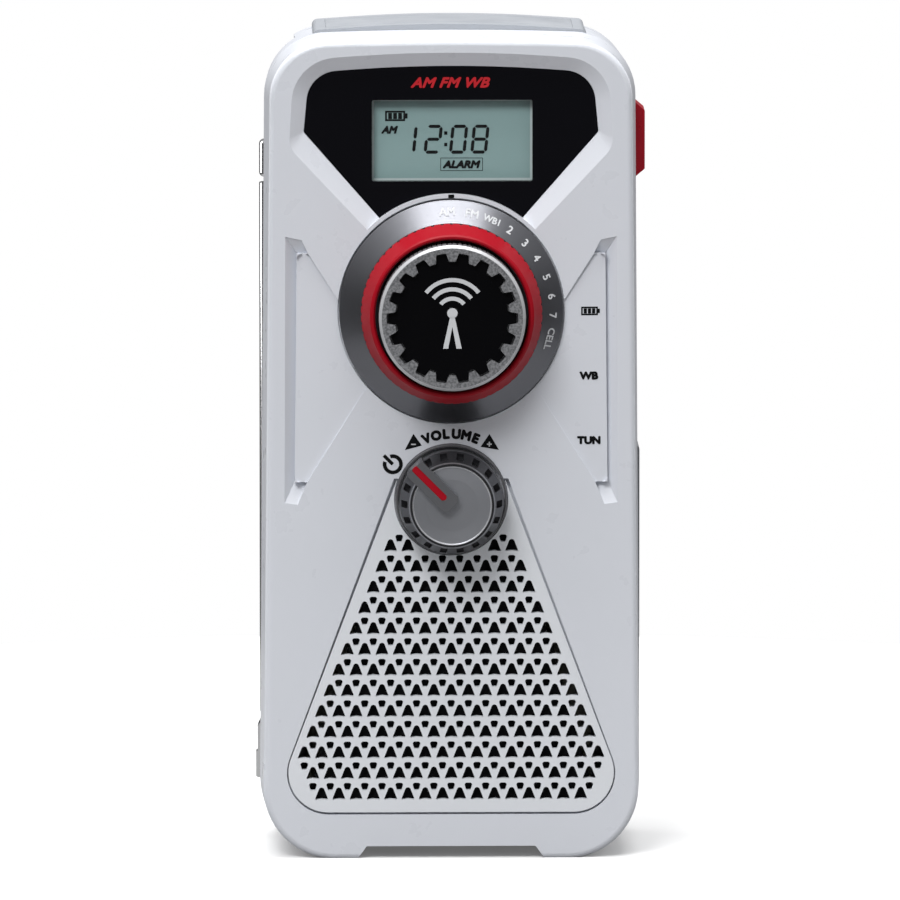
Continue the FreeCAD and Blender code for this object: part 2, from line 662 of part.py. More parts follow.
def volume_knob():
    body = turned(
        [
            (3.05, -2.6),
            (3.9, -2.6),
            (3.9, 0.4),
            (VOLUME_R, 0.4),
            (VOLUME_R, 4.6),
            (7.5, VOLUME_TOP_H - 0.5),
            (7.25, VOLUME_TOP_H),
            (6.85, VOLUME_TOP_H),
            (6.7, VOLUME_TOP_H - 0.35),
            (4.5, VOLUME_TOP_H - 0.62),
            (2.2, VOLUME_TOP_H - 0.75),
            (0, VOLUME_TOP_H - 0.8),
            (0, VOLUME_TOP_H - 3.4),
            (3.05, VOLUME_TOP_H - 3.4),
        ],
        VOLUME_Z,
    )
    top = Y_FRONT - VOLUME_TOP_H
    notch = plate(rectangle(0.62, VOLUME_Z + 7.7, VOLUME_Z + 8.75), 0.12, top + 0.2, top + 4.4)
    notches = [around(notch, VOLUME_Z, 180.0 / TEETH + 360.0 * i / TEETH) for i in range(TEETH)]
    body = body.cut(Part.Compound(notches))
    bar = pointer_bar(POINTER_HALF, POINTER_IN, POINTER_OUT, top - 0.35, Y_FRONT - 3.4, POINTER_NOSE)
    body = fused([body, bar]).cut(rod("y", 0, VOLUME_Z, SHAFT_R + RUNNING_FIT, top + 3.4, Y_FRONT + 5))
    return body.cut(pointer_bar(RED_HALF, RED_IN, 12.0, top - 1, top + 0.5, 0.35))


def volume_pieces():
    top = Y_FRONT - VOLUME_TOP_H
    pointer = pointer_bar(RED_HALF - 0.03, RED_IN + 0.03, RED_OUT, top - 0.3, top + 0.5, 0.35)
    shaft = rod("y", 0, VOLUME_Z, SHAFT_R, top + 3.5, Y_FRONT + 5.2)
    bezel = turned(
        [(9.32, -0.5), (BEZEL_R, -0.5), (BEZEL_R, 0.35), (9.55, 0.85), (9.32, 0.85)], VOLUME_Z
    )
    pot = fused(
        [
            block(-7.5, 7.5, Y_FRONT + 5.6, Y_FRONT + 12.2, VOLUME_Z - 6.7, VOLUME_Z + 6.7),
            ring("y", 0, VOLUME_Z, 3.6, SHAFT_R + 0.05, Y_FRONT + 4.0, Y_FRONT + 5.7),
        ]
    )
    return pointer, shaft, bezel, pot


# ---- side pieces -------------------------------------------------------------------------------
def light_button():
    z, half = LIGHT_Z, 6.45
    cap = [
        (29.0, z - half),
        (32.4, z - half),
        (34.0, z - half + 1.35),
        (34.0, z + half - 1.35),
        (32.4, z + half),
        (29.0, z + half),
    ]
    body = plate(cap, [0, 0.2, 0.35, 0.35, 0.2, 0], LIGHT_Y - 3.45, LIGHT_Y + 3.45)
    return fused([body, block(28.4, 29.4, LIGHT_Y - 2.6, LIGHT_Y + 2.6, z - 7.6, z + 7.6)])


def lamp_pieces():
    lens = rod("x", LAMP_Y, LIGHT_Z, LAMP_R - 0.05, 30.6, 32.0)
    profile = [(22.0, 0.9), (30.5, LAMP_R - 0.1), (30.5, LAMP_R - 0.8), (22.6, 0.9)]
    face = Part.Face(
        Part.makePolygon([Vector(x, LAMP_Y + r, LIGHT_Z) for x, r in profile + [profile[0]]])
    )
    reflector = face.revolve(Vector(0, LAMP_Y, LIGHT_Z), Vector(1, 0, 0), 360)
    led = fused(
        [rod("x", LAMP_Y, LIGHT_Z, 0.85, 21.0, 23.6), rod("x", LAMP_Y, LIGHT_Z, 2.2, 20.4, 21.6)]
    )
    return lens, reflector, led


def port_pieces():
    hinge_r = 0.9
    cover = plate(
        [
            (PORT_FLOOR_X + 0.1, PORT_Z0),
            (33.3, PORT_Z0),
            (33.3, PORT_Z1),
            (PORT_FLOOR_X + 0.1, PORT_Z1),
        ],
        [0.2, 0.7, 0.7, 0.2],
        PORT_Y0,
        PORT_Y1 - hinge_r,
    )
    hinge = rod("z", 32.3, PORT_Y1 - hinge_r, hinge_r, PORT_Z0, PORT_Z1)
    cover = fused([cover, hinge])
    usb = block(17.0, 31.0, 6.05, 11.95, USB_Z - 6.95, USB_Z + 6.95)
    usb = usb.cut(block(20.0, 32.0, 6.45, 11.55, USB_Z - 6.25, USB_Z + 6.25))
    usb = fused([usb, block(18.0, 29.5, 7.0, 8.9, USB_Z - 5.4, USB_Z + 5.4)])
    charge = block(25.8, 31.0, 7.15, 10.95, CHARGE_Z - 4.35, CHARGE_Z + 4.35)
    charge = charge.cut(block(26.6, 32.0, 7.6, 10.5, CHARGE_Z - 3.8, CHARGE_Z + 3.8))
    charge = fused([charge, block(26.2, 30.0, 8.75, 9.35, CHARGE_Z - 2.6, CHARGE_Z + 2.6)])
    jack_y0, jack_y1 = JACK_Y - 3.4, JACK_Y + 3.4
    jack = block(18.0, 29.2, jack_y0, jack_y1, JACK_Z - 3.8, JACK_Z + 3.8)
    jack = fused([rod("x", JACK_Y, JACK_Z, 3.3, 29.0, 32.35), jack])
    jack = jack.cut(rod("x", JACK_Y, JACK_Z, JACK_R, 18.3, 40.0))
    return cover, usb, charge, jack


# ---- solar panel -------------------------------------------------------------------------------
def solar_pieces():
    half, y0, y1 = SOLAR
    edge, crown = SOLAR_EDGE, SOLAR_CROWN
    section_points = [
        (-half, SOLAR_FLOOR + 0.05), (half, SOLAR_FLOOR + 0.05), (half, edge), (0, crown), (-half, edge)
    ]
    bar = plate(section_points, [0, 0, SOLAR_END_RADIUS, SOLAR_CROWN_RADIUS, SOLAR_END_RADIUS], y0, y1)
    middle = (y0 + y1) / 2
    dome_r = 110.0
    bar = bar.common(
        Part.makeCylinder(dome_r, 60, Vector(-30, middle, crown - dome_r), Vector(1, 0, 0))
    )
    window = block(-half + 2.2, half - 2.2, y0 + 2.0, y1 - 2.0, edge - 0.45, 160)
    cover = bar.common(block(-half + 2.25, half - 2.25, y0 + 2.05, y1 - 2.05, edge - 0.4, 160))
    cell_pocket = block(-half + 2.6, half - 2.6, y0 + 2.4, y1 - 2.4, edge - 1.0, 160)
    cell = block(-half + 2.65, half - 2.65, y0 + 2.45, y1 - 2.45, edge - 0.95, edge - 0.5)
    return bar.cut(window).cut(cell_pocket), cell, cover


# ---- antenna -----------------------------------------------------------------------------------
def antenna_pieces():
    x, y, z = ANTENNA_X, ANTENNA_Y, ANTENNA_PIVOT_Z
    ear_r, tang = 3.0, 1.25
    low = ANTENNA_FLOOR + 0.4
    column = rod("z", x, y, ANTENNA_BASE_R, low, z + ear_r + 1)
    base = fused(
        [
            rod("z", x, y, ANTENNA_BASE_R, low, z - 3.5),
            rod("z", x, y, ANTENNA_STUD_R, low - 2.6, low + 0.2),
            block(x - ear_r, x + ear_r, y - 2.9, y + 2.9, z - 5.0, z).common(column),
            rod("y", x, z, ear_r, y - 2.9, y + 2.9).common(column),
        ]
    )
    base = base.cut(block(x - 5, x + 5, y - tang - 0.1, y + tang + 0.1, z - 3.5, z + 10))
    pin_r = 0.9
    base = base.cut(rod("y", x, z, pin_r, y - 5, y + 5))
    pin = rod("y", x, z, pin_r - 0.02, y - 2.6, y + 2.6)
    outer = TUBE_RADII[0]
    tang_piece = block(
        x - 2.3, x + 2.3, y - tang, y + tang, z, TUBE_BOTTOM_Z + 1
    ).common(rod("z", x, y, outer, z, 40))
    knuckle = fused(
        [tang_piece, rod("y", x, z, 2.3, y - tang, y + tang)]
    ).cut(rod("y", x, z, pin_r + 0.03, y - 5, y + 5))
    tubes = []
    for i, radius in enumerate(TUBE_RADII):
        low = TUBE_BOTTOM_Z + 2.2 * i
        tube = rod("z", x, y, radius, low, TUBE_TOP_Z).cut(
            rod("z", x, y, radius - TUBE_BORE, low + 1.2, TUBE_TOP_Z + 1)
        )
        tubes.append(fused([tube, knuckle]) if i == 0 else tube)
    low = TUBE_BOTTOM_Z + 2.2 * len(TUBE_RADII)
    core = rod("z", x, y, TUBE_RADII[2] - TUBE_BORE - 0.1, low, TUBE_TOP_Z + 1.5)
    tip = rod("z", x, y, 2.5, TUBE_TOP_Z + 1.0, TIP_TOP_Z).cut(
        rod("z", x, y, TUBE_RADII[2] - TUBE_BORE - 0.1, 100, TUBE_TOP_Z + 1.5)
    )
    tip_ends = (TIP_TOP_Z, TUBE_TOP_Z + 1.0)
    rims = [
        e
        for e in tip.Edges
        if e.BoundBox.XLength > 4.5 and any(abs(e.BoundBox.ZMax - end) < 1e-6 for end in tip_ends)
    ]
    tip = tip.makeFillet(0.8, rims)
    return base, pin, tubes, core, tip


# ---- crank and generator -----------------------------------------------------------------------
def polar(x, z, distance, degrees):
    a = math.radians(degrees)
    return x + distance * math.cos(a), z + distance * math.sin(a)


IDLER_X, IDLER_Z = polar(0, CRANK_Z, MODULE * (CRANK_TEETH + PINION_TEETH) / 2, IDLER_DEG)
ROTOR_X, ROTOR_Z = polar(IDLER_X, IDLER_Z, MODULE * (WHEEL_TEETH + PINION_TEETH) / 2, ROTOR_DEG)
SLOT_HALF, SLOT_Z0, SLOT_Z1 = 3.7, 46.0, 68.0


def crank_pieces():
    arm = fused(
        [
            rod("y", 0, CRANK_Z, 11.0, ARM_Y0, ARM_Y1),
            plate([(-7.0, 42.8), (7.0, 42.8), (9.2, 88), (-9.2, 88)], [5.5, 5.5, 0, 0], ARM_Y0, ARM_Y1),
        ]
    )
    rims = [e for e in arm.Edges if all(abs(v.Y - ARM_Y1) < 1e-6 for v in e.Vertexes)]
    arm = arm.makeFillet(1.0, rims)
    arm = arm.cut(
        plate(rectangle(SLOT_HALF, SLOT_Z0, SLOT_Z1), [0.8, 0.8, 3.0, 3.0], ARM_Y0 - 1, ARM_Y1 + 1)
    )
    arm = arm.cut(rod("x", KNOB_Y, KNOB_PIVOT_Z, 0.95, -5.6, 5.6))
    arm = arm.cut(rod("y", 0, CRANK_Z, 7.5, ARM_Y1 - 0.8, ARM_Y1 + 1))
    arm = arm.cut(rod("y", 0, CRANK_Z, SHAFT_R + 0.02, ARM_Y0 - 1, ARM_Y1 - 2.4))
    arm = fused([arm, rod("y", 0, CRANK_Z, 7.1, ARM_Y1 - 0.9, ARM_Y1 + 0.3)])
    shaft = rod("y", 0, CRANK_Z, SHAFT_R, 8.7, ARM_Y1 - 2.4)
    wheel = gear(0, CRANK_Z, CRANK_TEETH, 13.2, 15.4, IDLER_DEG, SHAFT_R)
    pin = rod("x", KNOB_Y, KNOB_PIVOT_Z, 0.9, -5.5, 5.5)
    yoke = fused(
        [rod("x", KNOB_Y, KNOB_PIVOT_Z, 2.6, -3.4, 3.4), rod("z", 0, KNOB_Y, 1.9, KNOB_PIVOT_Z, 52.2)]
    )
    yoke = fused(
        [yoke, rod("z", 0, KNOB_Y, 1.1, 52.0, 62.0)]
    ).cut(rod("x", KNOB_Y, KNOB_PIVOT_Z, 0.95, -6, 6))
    return arm, shaft, wheel, pin, yoke


def crank_knob():
    """A tapered, ribbed grip that spins on the yoke's spindle."""
    profile = [
        (1.15, 52.4),
        (2.3, 52.4),
        (2.5, 52.9),
        (KNOB_R, 65.6),
        (2.4, 67.0),
        (0, 67.0),
        (0, 62.2),
        (1.15, 62.2),
    ]
    corners = [Vector(r, KNOB_Y, z) for r, z in profile]
    face = Part.Face(Part.makePolygon(corners + [corners[0]]))
    body = face.revolve(Vector(0, KNOB_Y, 0), Vector(0, 0, 1), 360)
    groove = rod("z", KNOB_R + 0.05, KNOB_Y, 0.42, 54.5, 64.5)
    grooves = []
    for i in range(10):
        copy = groove.copy()
        copy.rotate(Vector(0, KNOB_Y, 0), Vector(0, 0, 1), 36.0 * i)
        grooves.append(copy)
    return body.cut(Part.Compound(grooves))


def generator_pieces():
    gap_deg = 180.0 / PINION_TEETH
    idler = fused(
        [
            gear(IDLER_X, IDLER_Z, PINION_TEETH, 12.3, 15.8, IDLER_DEG + 180.0 + gap_deg, 0, 1.0),
            gear(IDLER_X, IDLER_Z, WHEEL_TEETH, 10.2, 12.4, ROTOR_DEG, 0),
            rod("y", IDLER_X, IDLER_Z, 1.0, 8.8, 17.6),
        ]
    )
    rotor = fused(
        [
            gear(ROTOR_X, ROTOR_Z, PINION_TEETH, 10.1, 12.5, ROTOR_DEG + 180.0 + gap_deg, 0, 1.0),
            rod("y", ROTOR_X, ROTOR_Z, 1.0, 1.4, 10.4),
            rod("y", ROTOR_X, ROTOR_Z, 7.4, 2.4, 7.0),
        ]
    )
    stator = ring("y", ROTOR_X, ROTOR_Z, 9.9, 7.9, 2.2, 7.2)
    slots = [
        around(
            block(7.0 + ROTOR_X, 9.3 + ROTOR_X, 0, 9, ROTOR_Z - 0.8, ROTOR_Z + 0.8),
            ROTOR_Z,
            40.0 * i,
            ROTOR_X,
        )
        for i in range(9)
    ]
    stator = stator.cut(Part.Compound(slots))
    housing = rod("y", ROTOR_X, ROTOR_Z, 10.8, 0.6, 8.5).cut(rod("y", ROTOR_X, ROTOR_Z, 10.0, 1.8, 9.0))
    housing = housing.cut(rod("y", ROTOR_X, ROTOR_Z, 1.05, 0, 3))
    frame = plate([(-16, 75), (22.5, 75), (25.5, 100), (22.5, 121), (-16, 123.5)], 3.0, 8.6, 9.7)
    for x, z, r in ((0, CRANK_Z, SHAFT_R + 0.05), (IDLER_X, IDLER_Z, 1.05), (ROTOR_X, ROTOR_Z, 1.4)):
        frame = frame.cut(rod("y", x, z, r, 8, 11))
    return idler, rotor, stator, housing, frame


# ---- electronics and battery -------------------------------------------------------------------
BOARD_Y0 = Y_FRONT + 12.2
BOARD_Y1 = BOARD_Y0 + 1.6


def board_pieces():
    board = plate([(-26.5, 55.5), (26.5, 55.5), (26.5, 132.5), (-26.5, 132.5)], 2.0, BOARD_Y0, BOARD_Y1)
    parts = [
        block(-22, -12, BOARD_Y1, BOARD_Y1 + 1.6, 70, 80),
        block(-21, -15, BOARD_Y1, BOARD_Y1 + 1.4, 88, 94),
        block(12, 19, BOARD_Y1, BOARD_Y1 + 1.2, 60, 65),
        rod("y", 20, 76, 2.5, BOARD_Y1, BOARD_Y1 + 5.5),
        rod("y", 20, 84, 2.5, BOARD_Y1, BOARD_Y1 + 5.5),
        rod("y", -20, 62, 3.0, BOARD_Y1, BOARD_Y1 + 4.0),
        block(-8, -2, BOARD_Y1, BOARD_Y1 + 1.0, 60, 64),
        block(-24, -21, BOARD_Y1, BOARD_Y1 + 2.0, 103, 113),
        block(23.4, 26.4, BOARD_Y1, BOARD_Y1 + 6.2, LIGHT_Z - 3, LIGHT_Z + 3),
    ]
    return board, Part.Compound(parts)


def aerial_pieces():
    y, z = 5.0, 128.0
    core = rod("x", y, z, 3.8, -22.0, 19.0)
    return core, ring("x", y, z, 4.7, 3.82, -7.0, 9.0)


SPEAKER_Z, SPEAKER_R = 30.0, 19.0


def speaker_pieces():
    h = -FACE_WALL - 0.1
    frame = turned(
        [
            (17.2, h),
            (SPEAKER_R, h),
            (SPEAKER_R, h - 1.0),
            (17.9, h - 1.2),
            (12.6, h - 8.0),
            (6.5, h - 8.0),
            (6.5, h - 7.0),
            (11.9, h - 7.0),
            (17.2, h - 0.8),
        ],
        SPEAKER_Z,
    )
    cone = turned(
        [
            (0, h - 3.2),
            (3.0, h - 3.6),
            (5.0, h - 5.6),
            (16.9, h - 0.4),
            (17.1, h - 0.1),
            (17.1, h - 0.6),
            (5.0, h - 6.2),
            (0, h - 6.2),
        ],
        SPEAKER_Z,
    )
    magnet = turned([(0, h - 8.05), (11.5, h - 8.05), (11.5, h - 12.5), (0, h - 12.5)], SPEAKER_Z)
    return frame, cone, magnet


def battery_pieces():
    half, z0, z1, y0 = TRAY
    tray = plate(rectangle(half, z0, z1), [5.0, 5.0, 0.5, 0.5], y0, 17.85).cut(
        block(-half + 1.2, half - 1.2, y0 + 1.2, 30, z0 + 1.0, z1 - 1.2)
    )
    cell_r = 5.2
    cells = []
    for i in range(3):
        z = 11.8 + 10.6 * i
        cells.append(
            fused([rod("x", 12.7, z, cell_r, -22.4, 21.4), rod("x", 12.7, z, 1.9, 21.0, 22.6)])
        )
    door_half, hinge_z, top = DOOR
    door = fused(
        [
            plate(
                [(-door_half, hinge_z), (door_half, hinge_z), (door_half, top), (-door_half, top)],
                [0, 0, 1.5, 1.5],
                DOOR_Y0,
                Y_BACK,
            ),
            rod("x", DOOR_HINGE_Y, hinge_z, Y_BACK - DOOR_HINGE_Y, -door_half, door_half),
        ]
    )
    grip = [
        block(-6.0, 6.0, Y_BACK - 0.5, Y_BACK + 1, top - 4.6 - 1.6 * i, top - 3.8 - 1.6 * i)
        for i in range(4)
    ]
    return tray, Part.Compound(cells), door.cut(Part.Compound(grip))


def case_screws():
    screws = []
    for x, z in SCREWS:
        head = rod("y", x, z, 2.9, Y_BACK - 1.25, Y_BACK - 0.1)
        recess = fused(
            [
                block(x - 1.7, x + 1.7, Y_BACK - 0.8, Y_BACK + 1, z - 0.35, z + 0.35),
                block(x - 0.35, x + 0.35, Y_BACK - 0.8, Y_BACK + 1, z - 1.7, z + 1.7),
            ]
        )
        screws.append(fused([head, rod("y", x, z, 1.1, 6.0, Y_BACK - 1.0)]).cut(recess))
    return Part.Compound(screws)


# ---- write every sub-part ----------------------------------------------------------------------
def main():
    outside = casing_outside()
    save("front_shell", front_shell(outside))
    save("rear_shell", rear_shell(outside))
    save("speaker_grille", speaker_grille())
    save("display_window", display_window())
    for name, shape in zip(("display_lens", "lcd_panel", "lcd_holder"), display_pieces()):
        save(name, shape)
    save("band_dial_ring", band_dial_ring())
    save("band_grip_ring", band_grip_ring())
    save("tuning_knob", tuning_knob())
    save("tuning_insert", tuning_insert())
    for name, shape in zip(
        ("tuning_shaft", "band_contact_disc", "band_switch", "tuning_encoder"), dial_internals()
    ):
        save(name, shape)
    save("volume_knob", volume_knob())
    for name, shape in zip(
        ("volume_pointer", "volume_shaft", "volume_bezel", "volume_pot"), volume_pieces()
    ):
        save(name, shape)
    save("light_button", light_button())
    for name, shape in zip(
        ("flashlight_lens", "flashlight_reflector", "flashlight_led"), lamp_pieces()
    ):
        save(name, shape)
    for name, shape in zip(
        ("port_cover", "usb_socket", "charge_socket", "earphone_jack"), port_pieces()
    ):
        save(name, shape)
    for name, shape in zip(("solar_frame", "solar_cell", "solar_cover"), solar_pieces()):
        save(name, shape)
    base, pin, tubes, core, tip = antenna_pieces()
    save("antenna_base", base)
    save("antenna_pin", pin)
    for i, tube in enumerate(tubes):
        save("antenna_tube_%d" % (i + 1), tube)
    save("antenna_rod", core)
    save("antenna_tip", tip)
    names = ("crank_arm", "crank_shaft", "crank_gear", "crank_knob_pin", "crank_knob_yoke")
    for name, shape in zip(names, crank_pieces()):
        save(name, shape)
    save("crank_knob", crank_knob())
    names = ("idler_gear", "generator_rotor", "generator_stator", "generator_housing", "gearbox_plate")
    for name, shape in zip(names, generator_pieces()):
        save(name, shape)
    for name, shape in zip(("main_board", "board_components"), board_pieces()):
        save(name, shape)
    for name, shape in zip(("ferrite_rod", "ferrite_coil"), aerial_pieces()):
        save(name, shape)
    for name, shape in zip(("speaker_frame", "speaker_cone", "speaker_magnet"), speaker_pieces()):
        save(name, shape)
    for name, shape in zip(("battery_tray", "battery_cells", "battery_door"), battery_pieces()):
        save(name, shape)
    save("case_screws", case_screws())
    print("sub-parts written:", len(os.listdir("parts")))


main()
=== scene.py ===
import math

import bmesh
import bpy
from mathutils import Matrix, Vector
from mathutils.bvhtree import BVHTree


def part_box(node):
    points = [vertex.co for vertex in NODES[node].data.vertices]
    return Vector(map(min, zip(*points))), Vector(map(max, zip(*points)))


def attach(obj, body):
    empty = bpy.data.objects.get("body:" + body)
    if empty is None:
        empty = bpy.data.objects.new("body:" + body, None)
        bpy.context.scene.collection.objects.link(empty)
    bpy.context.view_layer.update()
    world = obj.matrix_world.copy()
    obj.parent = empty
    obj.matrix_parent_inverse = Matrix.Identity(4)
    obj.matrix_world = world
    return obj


# Looks for the hand-crank emergency radio, in metres and in the part's own frame: +Z is up and
# the front faces -Y. Sizes that are easier to read in millimetres are multiplied by MM.
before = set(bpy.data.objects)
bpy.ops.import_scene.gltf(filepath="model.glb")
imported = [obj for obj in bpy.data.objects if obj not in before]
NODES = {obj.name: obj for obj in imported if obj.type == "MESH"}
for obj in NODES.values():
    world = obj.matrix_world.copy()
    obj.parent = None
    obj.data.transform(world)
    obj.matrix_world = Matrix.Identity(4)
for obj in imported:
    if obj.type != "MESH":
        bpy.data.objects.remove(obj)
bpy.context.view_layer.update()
MM = 0.001

# ---- places read from the CAD nodes --------------------------------------------------------------


def middle(node):
    low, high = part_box(node)
    return (low + high) / 2


DIAL = middle("band_dial_ring")
VOLUME = middle("volume_bezel")
FRONT_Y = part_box("front_shell")[0].y


# ---- camera, light and floor ---------------------------------------------------------------------
VIEW_ELEVATION = 7.5
VIEW_AZIMUTH = -1.2
VIEW_DISTANCE = 3.0
VIEW_CENTRE = Vector((-0.2 * MM, FRONT_Y, 71.6 * MM))
VIEW_WIDTH = 156.15 * MM  # what the frame takes in at the front face
ROOM_SIDES, ROOM_TOP = 0.13, 0.7  # brightness of the room at the sides and overhead
ROOM_LOW, ROOM_HIGH = 0.1, 0.8  # the heights, 0 to 1 up the sky, between which it brightens
FLOOR_R = 0.26
FLOOR_STEPS = 64
FLOOR_BOUNCE, FLOOR_SEEN = 0.3, 0.8  # grey of the floor for bounced light and for the camera
FLOOR_GLOW = 0.12  # keeps the floor near white where the camera sees it
SOFTBOX_TARGET = (0, 0, 0.07)
SOFTBOXES = (  # name, place, (width, height), power in watts
    ("key_softbox", (-0.35, -0.8, 0.95), (0.5, 0.4), 9.0),
    ("top_softbox", (0.0, -0.1, 1.1), (0.8, 0.4), 9.0),
    ("left_softbox", (-0.85, 0.5, 0.3), (0.25, 0.7), 2.6),
    ("right_softbox", (0.85, 0.5, 0.3), (0.25, 0.7), 2.2),
)


def circle(radius, steps, x=0.0, y=0.0):
    turns = [2 * math.pi * i / steps for i in range(steps)]
    return [(x + radius * math.cos(a), y + radius * math.sin(a)) for a in turns]


def aim(obj, target):
    obj.rotation_euler = (target - obj.location).to_track_quat("-Z", "Y").to_euler()


def add_camera():
    data = bpy.data.cameras.new("view_camera")
    data.sensor_width = 36.0
    data.lens = data.sensor_width * VIEW_DISTANCE / VIEW_WIDTH
    data.clip_start, data.clip_end = 0.1, 20.0
    camera = bpy.data.objects.new("view_camera", data)
    bpy.context.scene.collection.objects.link(camera)
    elevation, azimuth = math.radians(VIEW_ELEVATION), math.radians(VIEW_AZIMUTH)
    level = math.cos(elevation)
    way = Vector((math.sin(azimuth) * level, -math.cos(azimuth) * level, math.sin(elevation)))
    camera.location = VIEW_CENTRE + way * VIEW_DISTANCE
    aim(camera, VIEW_CENTRE)
    bpy.context.scene.camera = camera


def add_softbox(name, place, size, power):
    data = bpy.data.lights.new(name, "AREA")
    data.shape = "RECTANGLE"
    data.size, data.size_y = size
    data.energy = power
    lamp = bpy.data.objects.new(name, data)
    bpy.context.scene.collection.objects.link(lamp)
    lamp.location = place
    aim(lamp, Vector(SOFTBOX_TARGET))


def add_world():
    """A dim room, brighter overhead, that the camera sees as plain white."""
    world = bpy.data.worlds.new("studio")
    bpy.context.scene.world = world
    world.use_nodes = True
    tree = world.node_tree
    background = tree.nodes["Background"]
    height = tree.nodes.new("ShaderNodeSeparateXYZ")
    tree.links.new(tree.nodes.new("ShaderNodeTexCoord").outputs["Generated"], height.inputs[0])
    level = tree.nodes.new("ShaderNodeMapRange")
    limits = {"From Min": ROOM_LOW, "From Max": ROOM_HIGH, "To Min": ROOM_SIDES, "To Max": ROOM_TOP}
    for key, value in limits.items():
        level.inputs[key].default_value = value
    tree.links.new(height.outputs["Z"], level.inputs["Value"])
    seen = tree.nodes.new("ShaderNodeMix")
    tree.links.new(tree.nodes.new("ShaderNodeLightPath").outputs["Is Camera Ray"], seen.inputs["Factor"])
    tree.links.new(level.outputs[0], seen.inputs["A"])
    seen.inputs["B"].default_value = 1.0
    tree.links.new(seen.outputs[0], background.inputs["Strength"])
    background.inputs["Color"].default_value = (1, 1, 1, 1)


def add_floor():
    """A disc that reads nearly white to the camera but only bounces a little light."""
    mesh = bpy.data.meshes.new("floor")
    rim = [(x, y, 0) for x, y in circle(FLOOR_R, FLOOR_STEPS)]
    mesh.from_pydata(rim, [], [tuple(range(FLOOR_STEPS))])
    floor = bpy.data.objects.new("floor", mesh)
    bpy.context.scene.collection.objects.link(floor)
    mat = bpy.data.materials.new("floor_white")
    mat.use_nodes = True
    tree = mat.node_tree
    shader = tree.nodes["Principled BSDF"]
    seen = tree.nodes.new("ShaderNodeLightPath").outputs["Is Camera Ray"]
    base = tree.nodes.new("ShaderNodeMix")
    base.data_type = "RGBA"
    tree.links.new(seen, base.inputs[0])
    base.inputs[6].default_value = (FLOOR_BOUNCE, FLOOR_BOUNCE, FLOOR_BOUNCE, 1)
    base.inputs[7].default_value = (FLOOR_SEEN, FLOOR_SEEN, FLOOR_SEEN, 1)
    tree.links.new(base.outputs[2], shader.inputs["Base Color"])
    glow = tree.nodes.new("ShaderNodeMath")
    glow.operation = "MULTIPLY"
    tree.links.new(seen, glow.inputs[0])
    glow.inputs[1].default_value = FLOOR_GLOW
    tree.links.new(glow.outputs[0], shader.inputs["Emission Strength"])
    shader.inputs["Emission Color"].default_value = (1, 1, 1, 1)
    shader.inputs["Roughness"].default_value = 0.9
    shader.inputs["Specular IOR Level"].default_value = 0.0
    mesh.materials.append(mat)


def add_studio():
    for name, place, size, power in SOFTBOXES:
        add_softbox(name, place, size, power)
    bpy.context.scene.view_settings.view_transform = "Standard"
    add_world()
    add_floor()


add_camera()
add_studio()


# ---- materials -----------------------------------------------------------------------------------
class Graph:
    """A short way to build a material's nodes."""

    def __init__(self, name):
        self.mat = bpy.data.materials.new(name)
        self.mat.use_nodes = True
        self.tree = self.mat.node_tree
        self.shader = self.tree.nodes["Principled BSDF"]
        self.coords = self.tree.nodes.new("ShaderNodeTexCoord").outputs["Object"]

    def node(self, kind, inputs=None, **settings):
        made = self.tree.nodes.new("ShaderNode" + kind)
        for key, value in settings.items():
            setattr(made, key, value)
        for key, value in (inputs or {}).items():
            self.put(made.inputs[key], value)
        return made

    def put(self, socket, value):
        if isinstance(value, bpy.types.NodeSocket):
            self.tree.links.new(value, socket)
        else:
            socket.default_value = value

    def noise(self, scale, detail=2.0, coords=None):
        inputs = {"Vector": coords or self.coords, "Scale": scale, "Detail": detail}
        return self.node("TexNoise", inputs).outputs["Fac"]

    def maths(self, operation, a, b):
        return self.node("Math", {0: a, 1: b}, operation=operation).outputs[0]

    def span(self, value, low, high, start=0.0, end=1.0):
        return self.node(
            "MapRange", {"Value": value, "From Min": start, "From Max": end, "To Min": low, "To Max": high}
        ).outputs[0]

    def mix(self, value, low, high):
        made = self.tree.nodes.new("ShaderNodeMix")
        made.data_type = "RGBA"
        self.put(made.inputs[0], value)
        self.put(made.inputs[6], (*low, 1) if isinstance(low, tuple) else low)
        self.put(made.inputs[7], (*high, 1) if isinstance(high, tuple) else high)
        return made.outputs[2]

    def bump(self, height, distance):
        made = self.node("Bump", {"Height": height, "Distance": distance, "Strength": 1.0})
        self.tree.links.new(made.outputs[0], self.shader.inputs["Normal"])

    def set(self, **values):
        names = {
            "colour": "Base Color",
            "rough": "Roughness",
            "metal": "Metallic",
            "alpha": "Alpha",
            "specular": "Specular IOR Level",
        }
        for key, value in values.items():
            if isinstance(value, tuple) and len(value) == 3:
                value = (*value, 1)
            self.put(self.shader.inputs[names[key]], value)


def linear(r, g, b):
    """sRGB 0-255 to linear."""
    return tuple(((c / 255 + 0.055) / 1.055) ** 2.4 if c > 10 else c / 255 / 12.92 for c in (r, g, b))


def shade(colour, factor):
    return tuple(min(1.0, c * factor) for c in colour)


GRAIN_SIZE = 0.7 * MM
SCRATCH_DEPTH = 0.000004
SCRATCH_SCALE = (3000.0, 3000.0, 60.0)  # fine across, long in Z
LATHE_DEPTH = 0.000012


